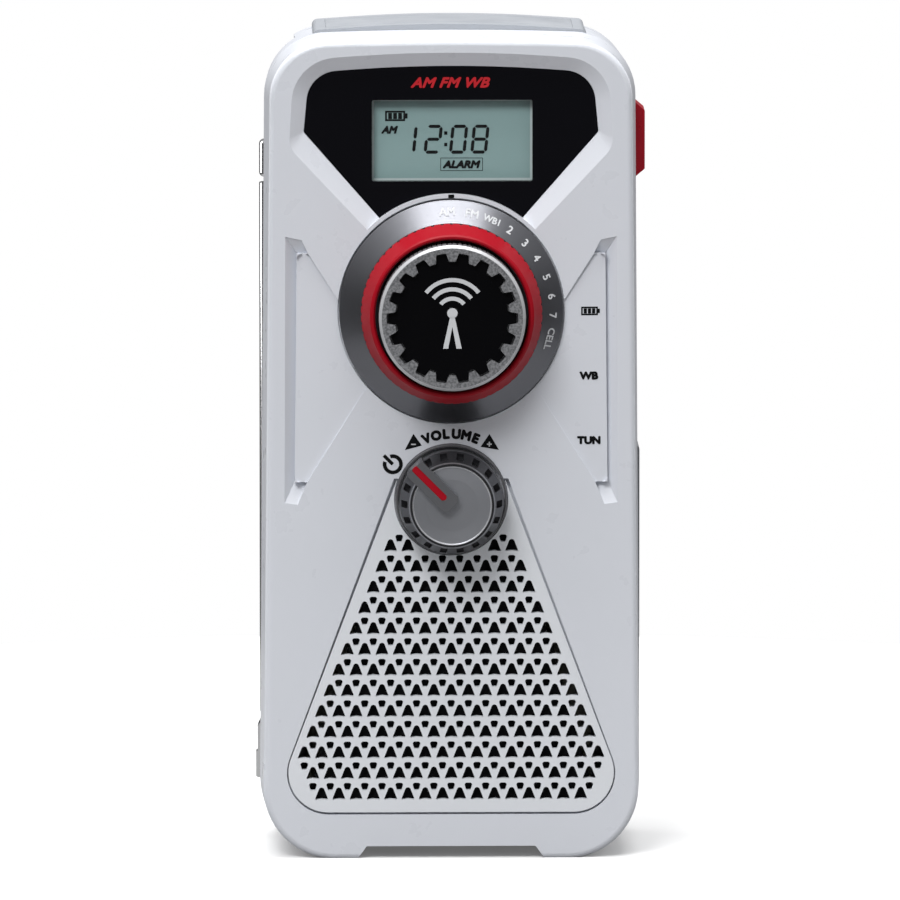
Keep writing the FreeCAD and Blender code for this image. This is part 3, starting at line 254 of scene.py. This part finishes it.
def plastic(name, colour, rough, grain=0.00002, mottle=0.03, specular=0.4):
    """Moulded plastic: a fine spark-eroded grain, slightly uneven colour and gloss."""
    g = Graph(name)
    fine = g.noise(1.0 / GRAIN_SIZE, 2.0)
    broad = g.noise(60.0, 3.0)
    g.set(colour=g.mix(broad, shade(colour, 1 - mottle), shade(colour, 1 + mottle)), specular=specular)
    g.set(rough=g.span(g.noise(220.0, 4.0), rough * 0.88, rough * 1.12, 0.3, 0.7))
    g.bump(fine, grain)
    return g.mat


def metal(name, colour, rough):
    """Plated or drawn metal with fine lines along one direction."""
    g = Graph(name)
    stretched = g.node("Mapping", {"Vector": g.coords, "Scale": SCRATCH_SCALE}).outputs[0]
    lines = g.noise(1.0, 3.0, stretched)
    g.set(colour=g.mix(g.noise(90.0), shade(colour, 0.94), colour), metal=1.0)
    g.set(rough=g.span(lines, rough * 0.7, rough * 1.4, 0.3, 0.7))
    g.bump(lines, SCRATCH_DEPTH)
    return g.mat


def axis_radius(g, centre):
    """Distance from an axis along Y, in metres."""
    moved = g.node("VectorMath", {0: g.coords, 1: (-centre.x, 0, -centre.z)}, operation="ADD").outputs[0]
    flat = g.node("VectorMath", {0: moved, 1: (1, 0, 1)}, operation="MULTIPLY").outputs[0]
    return g.node("VectorMath", {0: flat}, operation="LENGTH").outputs["Value"]


def banded(g, radius, bands):
    """A colour for each band of radius: (outer radius in mm, colour), from the axis outwards."""
    colour = bands[-1][1]
    for reach, inner in reversed(bands[:-1]):
        colour = g.mix(g.maths("LESS_THAN", radius, reach * MM), colour, inner)
    return colour


def turned(name, bands, rough, centre, metallic=1.0, line_width=0.16, raised=None):
    """A part turned on a lathe about an axis along Y: bands of colour, some of which on the volume knob
    are painted highlights, with fine concentric lines.

    raised is (height in mm above the front face, colour) for whatever stands higher than that.
    """
    g = Graph(name)
    radius = axis_radius(g, centre)
    steps = g.node("CombineXYZ", {"X": g.maths("MULTIPLY", radius, 1.0 / (line_width * MM))}).outputs[0]
    lines = g.noise(1.0, 3.0, steps)
    dull = banded(g, radius, [(reach, shade(colour, 0.88)) for reach, colour in bands])
    band_colours = g.mix(lines, dull, banded(g, radius, bands))
    if raised:
        depth_y = g.node("SeparateXYZ", {0: g.coords}).outputs["Y"]
        band_colours = g.mix(g.maths("LESS_THAN", depth_y, FRONT_Y - raised[0] * MM), band_colours, raised[1])
    g.set(colour=band_colours, metal=metallic)
    g.set(rough=g.span(lines, rough * 0.8, rough * 1.25, 0.3, 0.7))
    g.bump(lines, LATHE_DEPTH)
    return g.mat


CAP_HIGHLIGHT_INNER, CAP_HIGHLIGHT_OUTER = 12.2 * MM, 12.72 * MM  # the painted highlight along the rim, as radii
CAP_HIGHLIGHT_HEIGHT = 10.2 * MM  # how far in front of the casing the painted rim highlight starts


def speckled_cap(name, centre):
    """Painted metallic grey with fine flecks, and a painted highlight as a bright ring along the rim."""
    g = Graph(name)
    radius = axis_radius(g, centre)
    flecks = g.noise(2600.0, 1.0)
    body = g.mix(g.span(flecks, 0.0, 1.0, 0.35, 0.65), linear(108, 109, 112), linear(150, 151, 154))
    outside = g.maths("GREATER_THAN", radius, CAP_HIGHLIGHT_INNER)
    rim = g.maths("MULTIPLY", outside, g.maths("LESS_THAN", radius, CAP_HIGHLIGHT_OUTER))
    depth_y = g.node("SeparateXYZ", {0: g.coords}).outputs["Y"]
    front = g.maths("LESS_THAN", depth_y, FRONT_Y - CAP_HIGHLIGHT_HEIGHT)
    # the pale ring at the rim is a painted highlight
    g.set(colour=g.mix(g.maths("MULTIPLY", rim, front), body, linear(196, 197, 200)), metal=0.35)
    g.set(rough=g.span(flecks, 0.34, 0.46, 0.3, 0.7))
    g.bump(flecks, 0.000006)
    return g.mat


def clear(name, colour, alpha, rough):
    """Clear plastic, mostly see-through."""
    g = Graph(name)
    g.set(colour=colour, alpha=alpha, specular=0.2)
    g.set(rough=g.span(g.noise(300.0), rough * 0.8, rough * 1.2))
    g.mat.surface_render_method = "BLENDED"
    return g.mat


def solar_cover_material():
    """Hard clear plastic: see-through from above, and at a low angle an opaque pale grey that is a painted
    reflection.
    """
    g = Graph("solar_clear")
    facing = g.node("LayerWeight", {"Blend": 0.5}).outputs["Facing"]
    reflection_noise = g.noise(90.0, 4.0)
    # the pale grey, shown where the cover is seen at a low angle, is a painted reflection
    g.set(colour=g.mix(reflection_noise, linear(184, 189, 197), linear(204, 208, 214)))
    g.set(alpha=g.span(facing, 0.1, 0.94, 0.45, 0.82), rough=g.span(reflection_noise, 0.1, 0.2))
    g.mat.surface_render_method = "BLENDED"
    return g.mat


# PINGPONG folds a coordinate, so each line repeats at twice its fold
FINGER_FOLD, FINGER_HALF = 0.8 * MM, 0.06 * MM
BUSBAR_FOLD, BUSBAR_HALF = 3.5 * MM, 0.14 * MM


def solar_material():
    """Dark cells with thin silver fingers and wider busbars."""
    g = Graph("solar_cells")
    xyz = g.node("SeparateXYZ", {0: g.coords})
    finger = g.maths("PINGPONG", xyz.outputs["Y"], FINGER_FOLD)
    busbar = g.maths("PINGPONG", xyz.outputs["X"], BUSBAR_FOLD)
    thin, wide = g.maths("LESS_THAN", finger, FINGER_HALF), g.maths("LESS_THAN", busbar, BUSBAR_HALF)
    lines = g.maths("MAXIMUM", thin, wide)
    cell = g.mix(g.noise(400.0, 4.0), (0.012, 0.018, 0.05), (0.03, 0.04, 0.10))
    g.set(colour=g.mix(lines, cell, (0.55, 0.56, 0.58)), rough=0.25)
    return g.mat


SHELL = plastic("shell_white", linear(217, 220, 227), 0.3, grain=0.000006, mottle=0.012)
GRILLE = plastic("grille_white", linear(224, 227, 232), 0.38, grain=0.000006, mottle=0.012)
FRAME_GREY = plastic("frame_grey", linear(164, 168, 174), 0.36, grain=0.00001, mottle=0.012)
WINDOW = plastic("window_black", linear(13, 13, 17), 0.08, grain=0.0000004, mottle=0.0, specular=0.12)
LCD_FACE = plastic("lcd_face", linear(142, 171, 171), 0.5, grain=0.000001, mottle=0.02)
LCD_BORDER = plastic("lcd_border", linear(190, 206, 206), 0.5, grain=0.000001)
INK_BLACK = plastic("ink_black", linear(8, 10, 12), 0.6, grain=0.000001, specular=0.1)
INK_DARK = plastic("ink_dark", linear(12, 13, 15), 0.6, grain=0.000001, specular=0.1)
INK_LIGHT = plastic("ink_light", linear(205, 207, 210), 0.5, grain=0.000001)
INK_RED = plastic("ink_red", linear(196, 30, 40), 0.5, grain=0.000001)
PAST_RIM = 30.0  # a radius in mm beyond any knob, for the outermost band
RING_GREY = turned("ring_grey", [(PAST_RIM, linear(122, 123, 128))], 0.33, DIAL)
GRIP_RED = plastic("grip_red", linear(160, 5, 26), 0.42, grain=0.000004, specular=0.2)
CAP_GREY = speckled_cap("cap_grey", DIAL)
BEZEL_GREY = plastic("bezel_grey", linear(88, 88, 91), 0.4, grain=0.000004)
# radius in mm to which each colour reaches; the bright rings at 6.65-6.88 and 7.3-7.5 mm are painted
# highlights along the knob's rim
KNOB_BANDS_AND_HIGHLIGHTS = [
    (6.65, linear(162, 164, 170)),
    (6.88, linear(232, 233, 236)),
    (7.3, linear(60, 60, 63)),
    (7.5, linear(150, 151, 155)),
    (PAST_RIM, linear(78, 78, 82)),
]
POINTER_BAR = (8.95, linear(124, 125, 129))  # the bar that stands above the knob's face
KNOB_SILVER = turned(
    "knob_silver", KNOB_BANDS_AND_HIGHLIGHTS, 0.34, VOLUME, metallic=0.75, line_width=0.12, raised=POINTER_BAR
)
BLACK_GLOSS = plastic("black_gloss", linear(7, 7, 9), 0.2, grain=0.000001, specular=0.12)
BLACK_MATT = plastic("black_matt", linear(28, 28, 30), 0.55, grain=0.00002)
BUTTON_RED = plastic("button_red", linear(178, 14, 36), 0.3, grain=0.000003)
RUBBER = plastic("rubber_grey", linear(120, 122, 126), 0.65, grain=0.00001)
CHROME = metal("chrome", (0.78, 0.79, 0.8), 0.12)
STEEL = metal("steel", (0.56, 0.56, 0.57), 0.32)
BRASS = metal("brass", (0.66, 0.48, 0.2), 0.35)
COPPER = metal("copper", (0.62, 0.26, 0.12), 0.35)
NYLON = plastic("nylon", linear(222, 218, 205), 0.45, grain=0.000008)
BOARD = plastic("board_green", linear(20, 92, 56), 0.35, grain=0.000004)
JACKET = plastic("cell_jacket", linear(52, 132, 84), 0.3, grain=0.000004)
CLOTH_DARK = plastic("cloth_dark", linear(13, 13, 15), 0.9, grain=0.00002, specular=0.1)
LED_YELLOW = plastic("led_yellow", linear(230, 214, 120), 0.3)
LENS = clear("clear_lens", (0.2, 0.22, 0.22), 0.02, 0.03)
SOLAR_COVER = solar_cover_material()
MIRROR = metal("reflector_mirror", (0.9, 0.9, 0.9), 0.05)
SOLAR_CELL = solar_material()


LOOKS = {
    "front_shell": SHELL,
    "rear_shell": SHELL,
    "speaker_grille": GRILLE,
    "display_window": WINDOW,
    "display_lens": LENS,
    "lcd_panel": LCD_FACE,
    "lcd_holder": BLACK_MATT,
    "volume_bezel": BEZEL_GREY,
    "volume_pot": STEEL,
    "tuning_encoder": STEEL,
    "band_switch": NYLON,
    "flashlight_lens": LENS,
    "flashlight_reflector": MIRROR,
    "flashlight_led": LED_YELLOW,
    "usb_socket": STEEL,
    "charge_socket": STEEL,
    "earphone_jack": BLACK_MATT,
    "solar_frame": FRAME_GREY,
    "solar_cell": SOLAR_CELL,
    "solar_cover": SOLAR_COVER,
    "generator_stator": COPPER,
    "generator_housing": STEEL,
    "gearbox_plate": STEEL,
    "main_board": BOARD,
    "board_components": BLACK_MATT,
    "ferrite_rod": BLACK_MATT,
    "ferrite_coil": COPPER,
    "speaker_frame": BLACK_MATT,
    "speaker_cone": CLOTH_DARK,
    "speaker_magnet": STEEL,
    "battery_tray": NYLON,
    "battery_cells": JACKET,
    "case_screws": STEEL,
    "band_dial_ring": RING_GREY,
    "band_grip_ring": GRIP_RED,
    "band_contact_disc": BRASS,
    "tuning_knob": CAP_GREY,
    "tuning_insert": BLACK_GLOSS,
    "tuning_shaft": STEEL,
    "volume_knob": KNOB_SILVER,
    "volume_pointer": GRIP_RED,
    "volume_shaft": STEEL,
    "light_button": BUTTON_RED,
    "port_cover": RUBBER,
    "battery_door": SHELL,
    "antenna_base": CHROME,
    "antenna_pin": STEEL,
    "antenna_tube_1": CHROME,
    "antenna_tube_2": CHROME,
    "antenna_tube_3": CHROME,
    "antenna_rod": CHROME,
    "antenna_tip": CHROME,
    "crank_arm": RUBBER,
    "crank_shaft": STEEL,
    "crank_gear": NYLON,
    "crank_knob_pin": STEEL,
    "crank_knob_yoke": RUBBER,
    "crank_knob": BLACK_MATT,
    "idler_gear": NYLON,
    "generator_rotor": STEEL,
}
for node_name, look in LOOKS.items():
    NODES[node_name].data.materials.clear()
    NODES[node_name].data.materials.append(look)


# ---- drawing on surfaces -------------------------------------------------------------------------
TREES = {}


def surface(nodes):
    """A search tree over CAD nodes, to lay print on them."""
    if nodes not in TREES:
        points, faces = [], []
        for name in nodes:
            mesh = NODES[name].data
            base = len(points)
            points += [v.co.copy() for v in mesh.vertices]
            faces += [[base + i for i in polygon.vertices] for polygon in mesh.polygons]
        TREES[nodes] = BVHTree.FromPolygons(points, faces)
    return TREES[nodes]


PRINT_LIFT = 0.03 * MM
COPY_STEP = 0.003 * MM  # keeps the copies that thicken a letter from lying in one plane
BOLD_COPIES = 8
CAPITAL_HEIGHT = 0.729  # of a capital in the built-in font, at size 1
RAY_START_Y = -0.2  # well in front of the radio


def lay_on(mesh, nodes, lift=PRINT_LIFT):
    """Drops a mesh drawn in the XZ plane along +Y on to CAD nodes, just clear of them."""
    tree = surface(nodes)
    last = FRONT_Y
    for v in mesh.vertices:
        hit = tree.ray_cast(Vector((v.co.x, RAY_START_Y, v.co.z)), Vector((0, 1, 0)))[0]
        last = hit.y if hit is not None else last
        v.co.y += last - lift


def place(name, mesh, material, body):
    """Makes a piece of a mesh and fixes it to a body."""
    obj = bpy.data.objects.new(name, mesh)
    bpy.context.scene.collection.objects.link(obj)
    mesh.materials.clear()
    mesh.materials.append(material)
    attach(obj, body)


def flat_mesh(name, polygons):
    """Polygons given as lists of (x, z) in metres, as flat faces in the XZ plane."""
    bm = bmesh.new()
    for polygon in polygons:
        bm.faces.new([bm.verts.new((x, 0, z)) for x, z in polygon])
    mesh = bpy.data.meshes.new(name)
    bm.to_mesh(mesh)
    bm.free()
    return mesh


def text_mesh(words, height, spacing=1.0, shear=0.0, width=1.0, bold=0.0):
    """Plain lettering in the XZ plane, centred on the origin, height being a capital's."""
    data = bpy.data.curves.new("lettering", "FONT")
    data.body = words
    data.align_x, data.align_y = "CENTER", "CENTER"
    data.size = height / CAPITAL_HEIGHT
    data.space_character = spacing
    data.shear = shear
    data.resolution_u = 3
    obj = bpy.data.objects.new("lettering", data)
    bpy.context.scene.collection.objects.link(obj)
    bpy.context.view_layer.update()
    evaluated = obj.evaluated_get(bpy.context.evaluated_depsgraph_get())
    mesh = bpy.data.meshes.new_from_object(evaluated)
    bpy.data.objects.remove(obj)
    bpy.data.curves.remove(data)
    for v in mesh.vertices:
        v.co = Vector((v.co.x * width, 0, v.co.y))
    xs = [v.co.x for v in mesh.vertices]
    zs = [v.co.z for v in mesh.vertices]
    shift = Vector(((min(xs) + max(xs)) / 2, 0, (min(zs) + max(zs)) / 2))
    for v in mesh.vertices:
        v.co -= shift
    if not bold:
        return mesh
    copies = []
    for k in range(BOLD_COPIES):
        a = math.radians(360 / BOLD_COPIES * k)
        shift = (bold * math.cos(a), -k * COPY_STEP, bold * math.sin(a))
        copies.append((mesh, Matrix.Translation(shift)))
    return joined(words, copies)


def joined(name, parts):
    """One mesh from (mesh, matrix) pairs."""
    bm = bmesh.new()
    for mesh, matrix in parts:
        copy = mesh.copy()
        copy.transform(matrix)
        bm.from_mesh(copy)
        bpy.data.meshes.remove(copy)
    mesh = bpy.data.meshes.new(name)
    bm.to_mesh(mesh)
    bm.free()
    return mesh


def at(x, z, clockwise=0.0):
    """Places a drawing at (x, z) in metres, turned clockwise in degrees as seen from the front."""
    return Matrix.Translation((x, 0, z)) @ Matrix.Rotation(math.radians(clockwise), 4, (0, 1, 0))


def around(centre, radius, clockwise):
    """On a circle about centre, its foot towards the centre."""
    a = math.radians(clockwise)
    return at(centre.x + radius * math.sin(a), centre.z + radius * math.cos(a), clockwise)


def arc_band(inner, outer, start, end, x=0.0, z=0.0, steps=20):
    """Quads along an arc, angles in degrees anticlockwise from +X."""
    quads = []
    for i in range(steps):
        a, b = [math.radians(start + (end - start) * k / steps) for k in (i, i + 1)]
        quads.append(
            [
                (x + inner * math.cos(a), z + inner * math.sin(a)),
                (x + outer * math.cos(a), z + outer * math.sin(a)),
                (x + outer * math.cos(b), z + outer * math.sin(b)),
                (x + inner * math.cos(b), z + inner * math.sin(b)),
            ]
        )
    return quads


def bar(x0, x1, z0, z1):
    """An upright rectangle as a polygon."""
    return [(x0, z0), (x1, z0), (x1, z1), (x0, z1)]


def outline(x0, x1, z0, z1, line):
    """The four strips of a rectangle's border."""
    return [
        bar(x0, x1, z0, z0 + line),
        bar(x0, x1, z1 - line, z1),
        bar(x0, x0 + line, z0 + line, z1 - line),
        bar(x1 - line, x1, z0 + line, z1 - line),
    ]


def scaled(polygons):
    """Polygons from millimetres to metres."""
    return [[(x * MM, z * MM) for x, z in polygon] for polygon in polygons]


# ---- lettering on the band ring ------------------------------------------------------------------
BAND_LABEL_R = 17.6 * MM
BAND_LABELS = [  # words, degrees clockwise from the top, height in mm
    ("AM", -2.5, 1.3),
    ("FM", 11.8, 1.3),
    ("WB1", 23.3, 1.05),
    ("2", 35.2, 1.3),
    ("3", 46.6, 1.3),
    ("4", 57.3, 1.3),
    ("5", 69.5, 1.3),
    ("6", 80.9, 1.3),
    ("7", 91.9, 1.3),
    ("CELL", 105.3, 1.2),
]


def band_lettering():
    parts = []
    for words, angle, height in BAND_LABELS:
        label = text_mesh(words, height * MM, width=1.08, bold=0.05 * MM)
        parts.append((label, around(DIAL, BAND_LABEL_R, angle)))
    mesh = joined("band_lettering", parts)
    lay_on(mesh, ("band_dial_ring",), 3 * PRINT_LIFT)
    place("band_lettering", mesh, INK_LIGHT, "band_dial")


# ---- signs and lettering on the face, all in mm --------------------------------------------------
BATTERY_W, BATTERY_H, BATTERY_LINE = 2.9, 1.5, 0.27
BATTERY_NUB = 0.35
BATTERY_BARS, BATTERY_BAR_W, BATTERY_BAR_START, BATTERY_BAR_PITCH = 3, 0.55, 0.45, 0.72
VOLUME_ARC_R, VOLUME_ARC_STEP = 11.45, 8.8
VOLUME_LETTER = 1.6
SMALL_LETTER = 1.25
SIDE_LABELS = (("WB", 84.5), ("TUN", 73.2))  # words and height of their middle
SIDE_LABEL_X = 23.9
SIDE_BATTERY = (24.0, 95.8)
QUIETER = [(-8.05, 71.6), (-5.1, 72.4), (-6.55, 74.45)]
LOUDER = [(5.1, 72.15), (8.3, 71.6), (6.65, 74.4)]
POWER_X, POWER_Z, POWER_TILT = -10.13, 69.13, 135
POWER_INNER, POWER_OUTER, POWER_GAP = 1.1, 1.75, 27  # the gap is half the ring's opening in degrees
POWER_STROKE, POWER_STROKE_HALF = 2.2, 0.3
TICK_HALF, TICK_INNER, TICK_OUTER = 0.5, 19.72, 20.33


def battery_icon(x, z, scale=1.0):
    """A small lying battery with bars."""
    half_w, half_h = BATTERY_W * scale / 2, BATTERY_H * scale / 2
    shapes = outline(x - half_w, x + half_w, z - half_h, z + half_h, BATTERY_LINE * scale)
    shapes.append(bar(x + half_w, x + half_w + BATTERY_NUB * scale, z - half_h / 2, z + half_h / 2))
    rise = BATTERY_H * scale / 3.4
    for k in range(BATTERY_BARS):
        start = x - half_w + (BATTERY_BAR_START + BATTERY_BAR_PITCH * k) * scale
        shapes.append(bar(start, start + BATTERY_BAR_W * scale, z - rise, z + rise))
    return shapes


def turned_bar(x, z, start, end, half, degrees):
    """A bar pointing away from (x, z), from start to end along its direction."""
    a = math.radians(degrees)
    along, across = (math.cos(a), math.sin(a)), (-math.sin(a), math.cos(a))
    ends = [(start, -half), (end, -half), (end, half), (start, half)]
    return [(x + p * along[0] + q * across[0], z + p * along[1] + q * across[1]) for p, q in ends]


def power_icon():
    """An open ring with a stroke through its gap."""
    start, end = POWER_TILT + POWER_GAP, POWER_TILT - POWER_GAP + 360
    shapes = arc_band(POWER_INNER, POWER_OUTER, start, end, POWER_X, POWER_Z, 24)
    shapes.append(turned_bar(POWER_X, POWER_Z, 0.0, POWER_STROKE, POWER_STROKE_HALF, POWER_TILT))
    return shapes


def face_lettering():
    """The word over the volume knob, the labels at the right and the signs."""
    parts = []
    for i, letter in enumerate("VOLUME"):
        spot = around(VOLUME, VOLUME_ARC_R * MM, (i - 2.5) * VOLUME_ARC_STEP)
        parts.append((text_mesh(letter, VOLUME_LETTER * MM, width=1.02, bold=0.16 * MM), spot))
    for words, z in SIDE_LABELS:
        label = text_mesh(words, SMALL_LETTER * MM, width=1.12, bold=0.13 * MM)
        parts.append((label, at(SIDE_LABEL_X * MM, z * MM)))
    shapes = battery_icon(*SIDE_BATTERY) + [QUIETER, LOUDER] + power_icon()
    parts.append((flat_mesh("icons", scaled(shapes)), Matrix.Identity(4)))
    mesh = joined("face_lettering", parts)
    lay_on(mesh, ("front_shell",))
    place("face_lettering", mesh, INK_DARK, "case")


def dial_tick():
    """The mark on the rim above the dial, which the band in use lines up with."""
    dial_z = DIAL.z / MM
    mark = bar(-TICK_HALF, TICK_HALF, dial_z + TICK_INNER, dial_z + TICK_OUTER)
    tick = flat_mesh("dial_tick", scaled([mark]))
    lay_on(tick, ("front_shell", "display_window"), 2 * PRINT_LIFT)
    place("dial_tick", tick, INK_BLACK, "case")


def face_signs():
    """A light minus and plus on the two dark triangles."""
    minus = bar(-6.95, -6.1, 72.5, 72.72)
    plus = [bar(6.2, 7.05, 72.5, 72.72), bar(6.51, 6.74, 72.18, 73.04)]
    marks = flat_mesh("face_signs", scaled([minus] + plus))
    lay_on(marks, ("front_shell",), 2 * PRINT_LIFT)
    place("face_signs", marks, INK_LIGHT, "case")


# ---- display -------------------------------------------------------------------------------------
SEGMENTS = {"0": "abcdef", "1": "bc", "2": "abged", "8": "abcdefg"}
DIGITS = (("1", -9.1), ("2", -4.75), ("0", -0.35), ("8", 3.35))  # figure and its left edge
DIGIT_FOOT, DIGIT_W, DIGIT_H, DIGIT_SLANT = 123.0, 2.9, 5.05, 0.10
COLON_LEFT, COLON_RIGHT, COLON_DOT, COLON_LEVELS = -1.15, -0.6, 0.6, (124.3, 126.3)
CHARGE_X, CHARGE_Z, CHARGE_SCALE = -9.65, 129.6, 1.2
ALARM_FRAME, ALARM_LINE = (-1.8, 5.55, 120.0, 122.3), 0.1
BORDER_PAST, BORDER_LINE = 0.1, 0.42  # how far past the lens the pale border starts, and its width
BORDER_LIFT = 0.02 * MM


def digit(character, x):
    """A seven-segment figure as flat pieces, with its lower left corner at x."""
    w, h = DIGIT_W, DIGIT_H
    t, gap = 0.11 * h, 0.015 * h
    m = h / 2

    def horizontal(level):
        return [
            (gap + t / 2, level),
            (gap + t, level + t / 2),
            (w - gap - t, level + t / 2),
            (w - gap - t / 2, level),
            (w - gap - t, level - t / 2),
            (gap + t, level - t / 2),
        ]

    def upright(side, low, high):
        return [
            (side, low + gap),
            (side + t / 2, low + gap + t / 2),
            (side + t / 2, high - gap - t / 2),
            (side, high - gap),
            (side - t / 2, high - gap - t / 2),
            (side - t / 2, low + gap + t / 2),
        ]

    shapes = {
        "a": horizontal(h - t / 2),
        "g": horizontal(m),
        "d": horizontal(t / 2),
        "f": upright(t / 2, m, h - t / 2),
        "b": upright(w - t / 2, m, h - t / 2),
        "e": upright(t / 2, t / 2, m),
        "c": upright(w - t / 2, t / 2, m),
    }
    lit = [shapes[segment] for segment in SEGMENTS[character]]
    return [[(x + px + DIGIT_SLANT * pz, DIGIT_FOOT + pz) for px, pz in shape] for shape in lit]


def display_print():
    """The figures and words that the display shows."""
    shapes = []
    for character, x in DIGITS:
        shapes += digit(character, x)
    shapes += [bar(COLON_LEFT, COLON_RIGHT, level, level + COLON_DOT) for level in COLON_LEVELS]
    shapes += battery_icon(CHARGE_X, CHARGE_Z, CHARGE_SCALE)
    shapes += outline(*ALARM_FRAME, ALARM_LINE)
    band = text_mesh("AM", SMALL_LETTER * MM, shear=0.3, bold=0.11 * MM)
    alarm = text_mesh("ALARM", SMALL_LETTER * MM, shear=0.25, width=1.12, bold=0.12 * MM)
    parts = [
        (flat_mesh("segments", scaled(shapes)), Matrix.Identity(4)),
        (band, at(-10.6 * MM, 127.2 * MM)),
        (alarm, at(1.87 * MM, 121.15 * MM)),
    ]
    mesh = joined("display_print", parts)
    lay_on(mesh, ("lcd_panel",))
    place("display_print", mesh, INK_BLACK, "case")


def display_border():
    """A pale line on the panel, round the edge of the lens."""
    low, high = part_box("display_lens")
    x0, x1, z0, z1 = [v / MM for v in (low.x, high.x, low.z, high.z)]
    past = BORDER_PAST
    strips = outline(x0 - past, x1 + past, z0 - past, z1 + past, BORDER_LINE)
    border = flat_mesh("display_border", scaled(strips))
    lay_on(border, ("lcd_panel",), BORDER_LIFT)
    place("display_border", border, LCD_BORDER, "case")


def band_names():
    """The names of the bands, in red above the display."""
    label = text_mesh("AM FM WB", 1.75 * MM, spacing=1.05, shear=0.35, width=1.1, bold=0.11 * MM)
    label.transform(at(-0.1 * MM, 135.6 * MM))
    lay_on(label, ("display_window",), 2 * PRINT_LIFT)
    place("band_names", label, INK_RED, "case")


# ---- knob centre, speaker cloth ------------------------------------------------------------------
MARK_SCALE = 0.95
MARK_EYE_R, MARK_EYE_Z = 0.95, 0.9
WAVES, WAVE_LINE, WAVE_START, WAVE_END = (2.3, 4.0, 5.7), 0.75, 38, 142  # inner radii, width, degrees
MAST = [(-0.42, 0.2), (0.42, 0.2), (1.7, -5.6), (0.75, -5.6), (0.0, -1.6), (-0.75, -5.6), (-1.7, -5.6)]
CLOTH_DROP = 8.0 * MM  # from the grille's top to the cloth's
CLOTH_FLARE = 0.378  # how much each side widens for each unit down
CLOTH_TOP_HALF = 8.3 * MM  # half the cloth's width at the grille's top, were it to reach it
CLOTH_SIDE, CLOTH_FOOT = 3.0 * MM, 1.5 * MM  # in from the grille's side and foot
CLOTH_GAP = 0.05 * MM


def broadcast_mark():
    """A plain aerial-and-waves sign on the tuning knob's black centre."""
    shapes = [circle(MARK_EYE_R, 24, 0, MARK_EYE_Z)]
    for inner in WAVES:
        shapes += arc_band(inner, inner + WAVE_LINE, WAVE_START, WAVE_END, 0, MARK_EYE_Z)
    shapes.append(MAST)
    shapes = [[(x * MARK_SCALE, z * MARK_SCALE) for x, z in shape] for shape in shapes]
    mesh = flat_mesh("broadcast_mark", scaled(shapes))
    mesh.transform(at(DIAL.x, DIAL.z))
    lay_on(mesh, ("tuning_insert",))
    place("broadcast_mark", mesh, INK_LIGHT, "tuner")


def speaker_cloth():
    """Dark cloth in the gap behind the grille, as far up as the volume knob's sleeve."""
    low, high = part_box("speaker_grille")
    foot, top = high.x - CLOTH_SIDE, CLOTH_TOP_HALF + CLOTH_FLARE * CLOTH_DROP
    foot_z, top_z = low.z + CLOTH_FOOT, high.z - CLOTH_DROP
    points = [(-foot, foot_z), (foot, foot_z), (top, top_z), (-top, top_z)]
    mesh = flat_mesh("speaker_cloth", [points])
    for v in mesh.vertices:
        v.co.y = high.y + CLOTH_GAP
    place("speaker_cloth", mesh, CLOTH_DARK, "case")


band_lettering()
face_lettering()
dial_tick()
face_signs()
display_print()
display_border()
band_names()
broadcast_mark()
speaker_cloth()

bpy.context.view_layer.update()
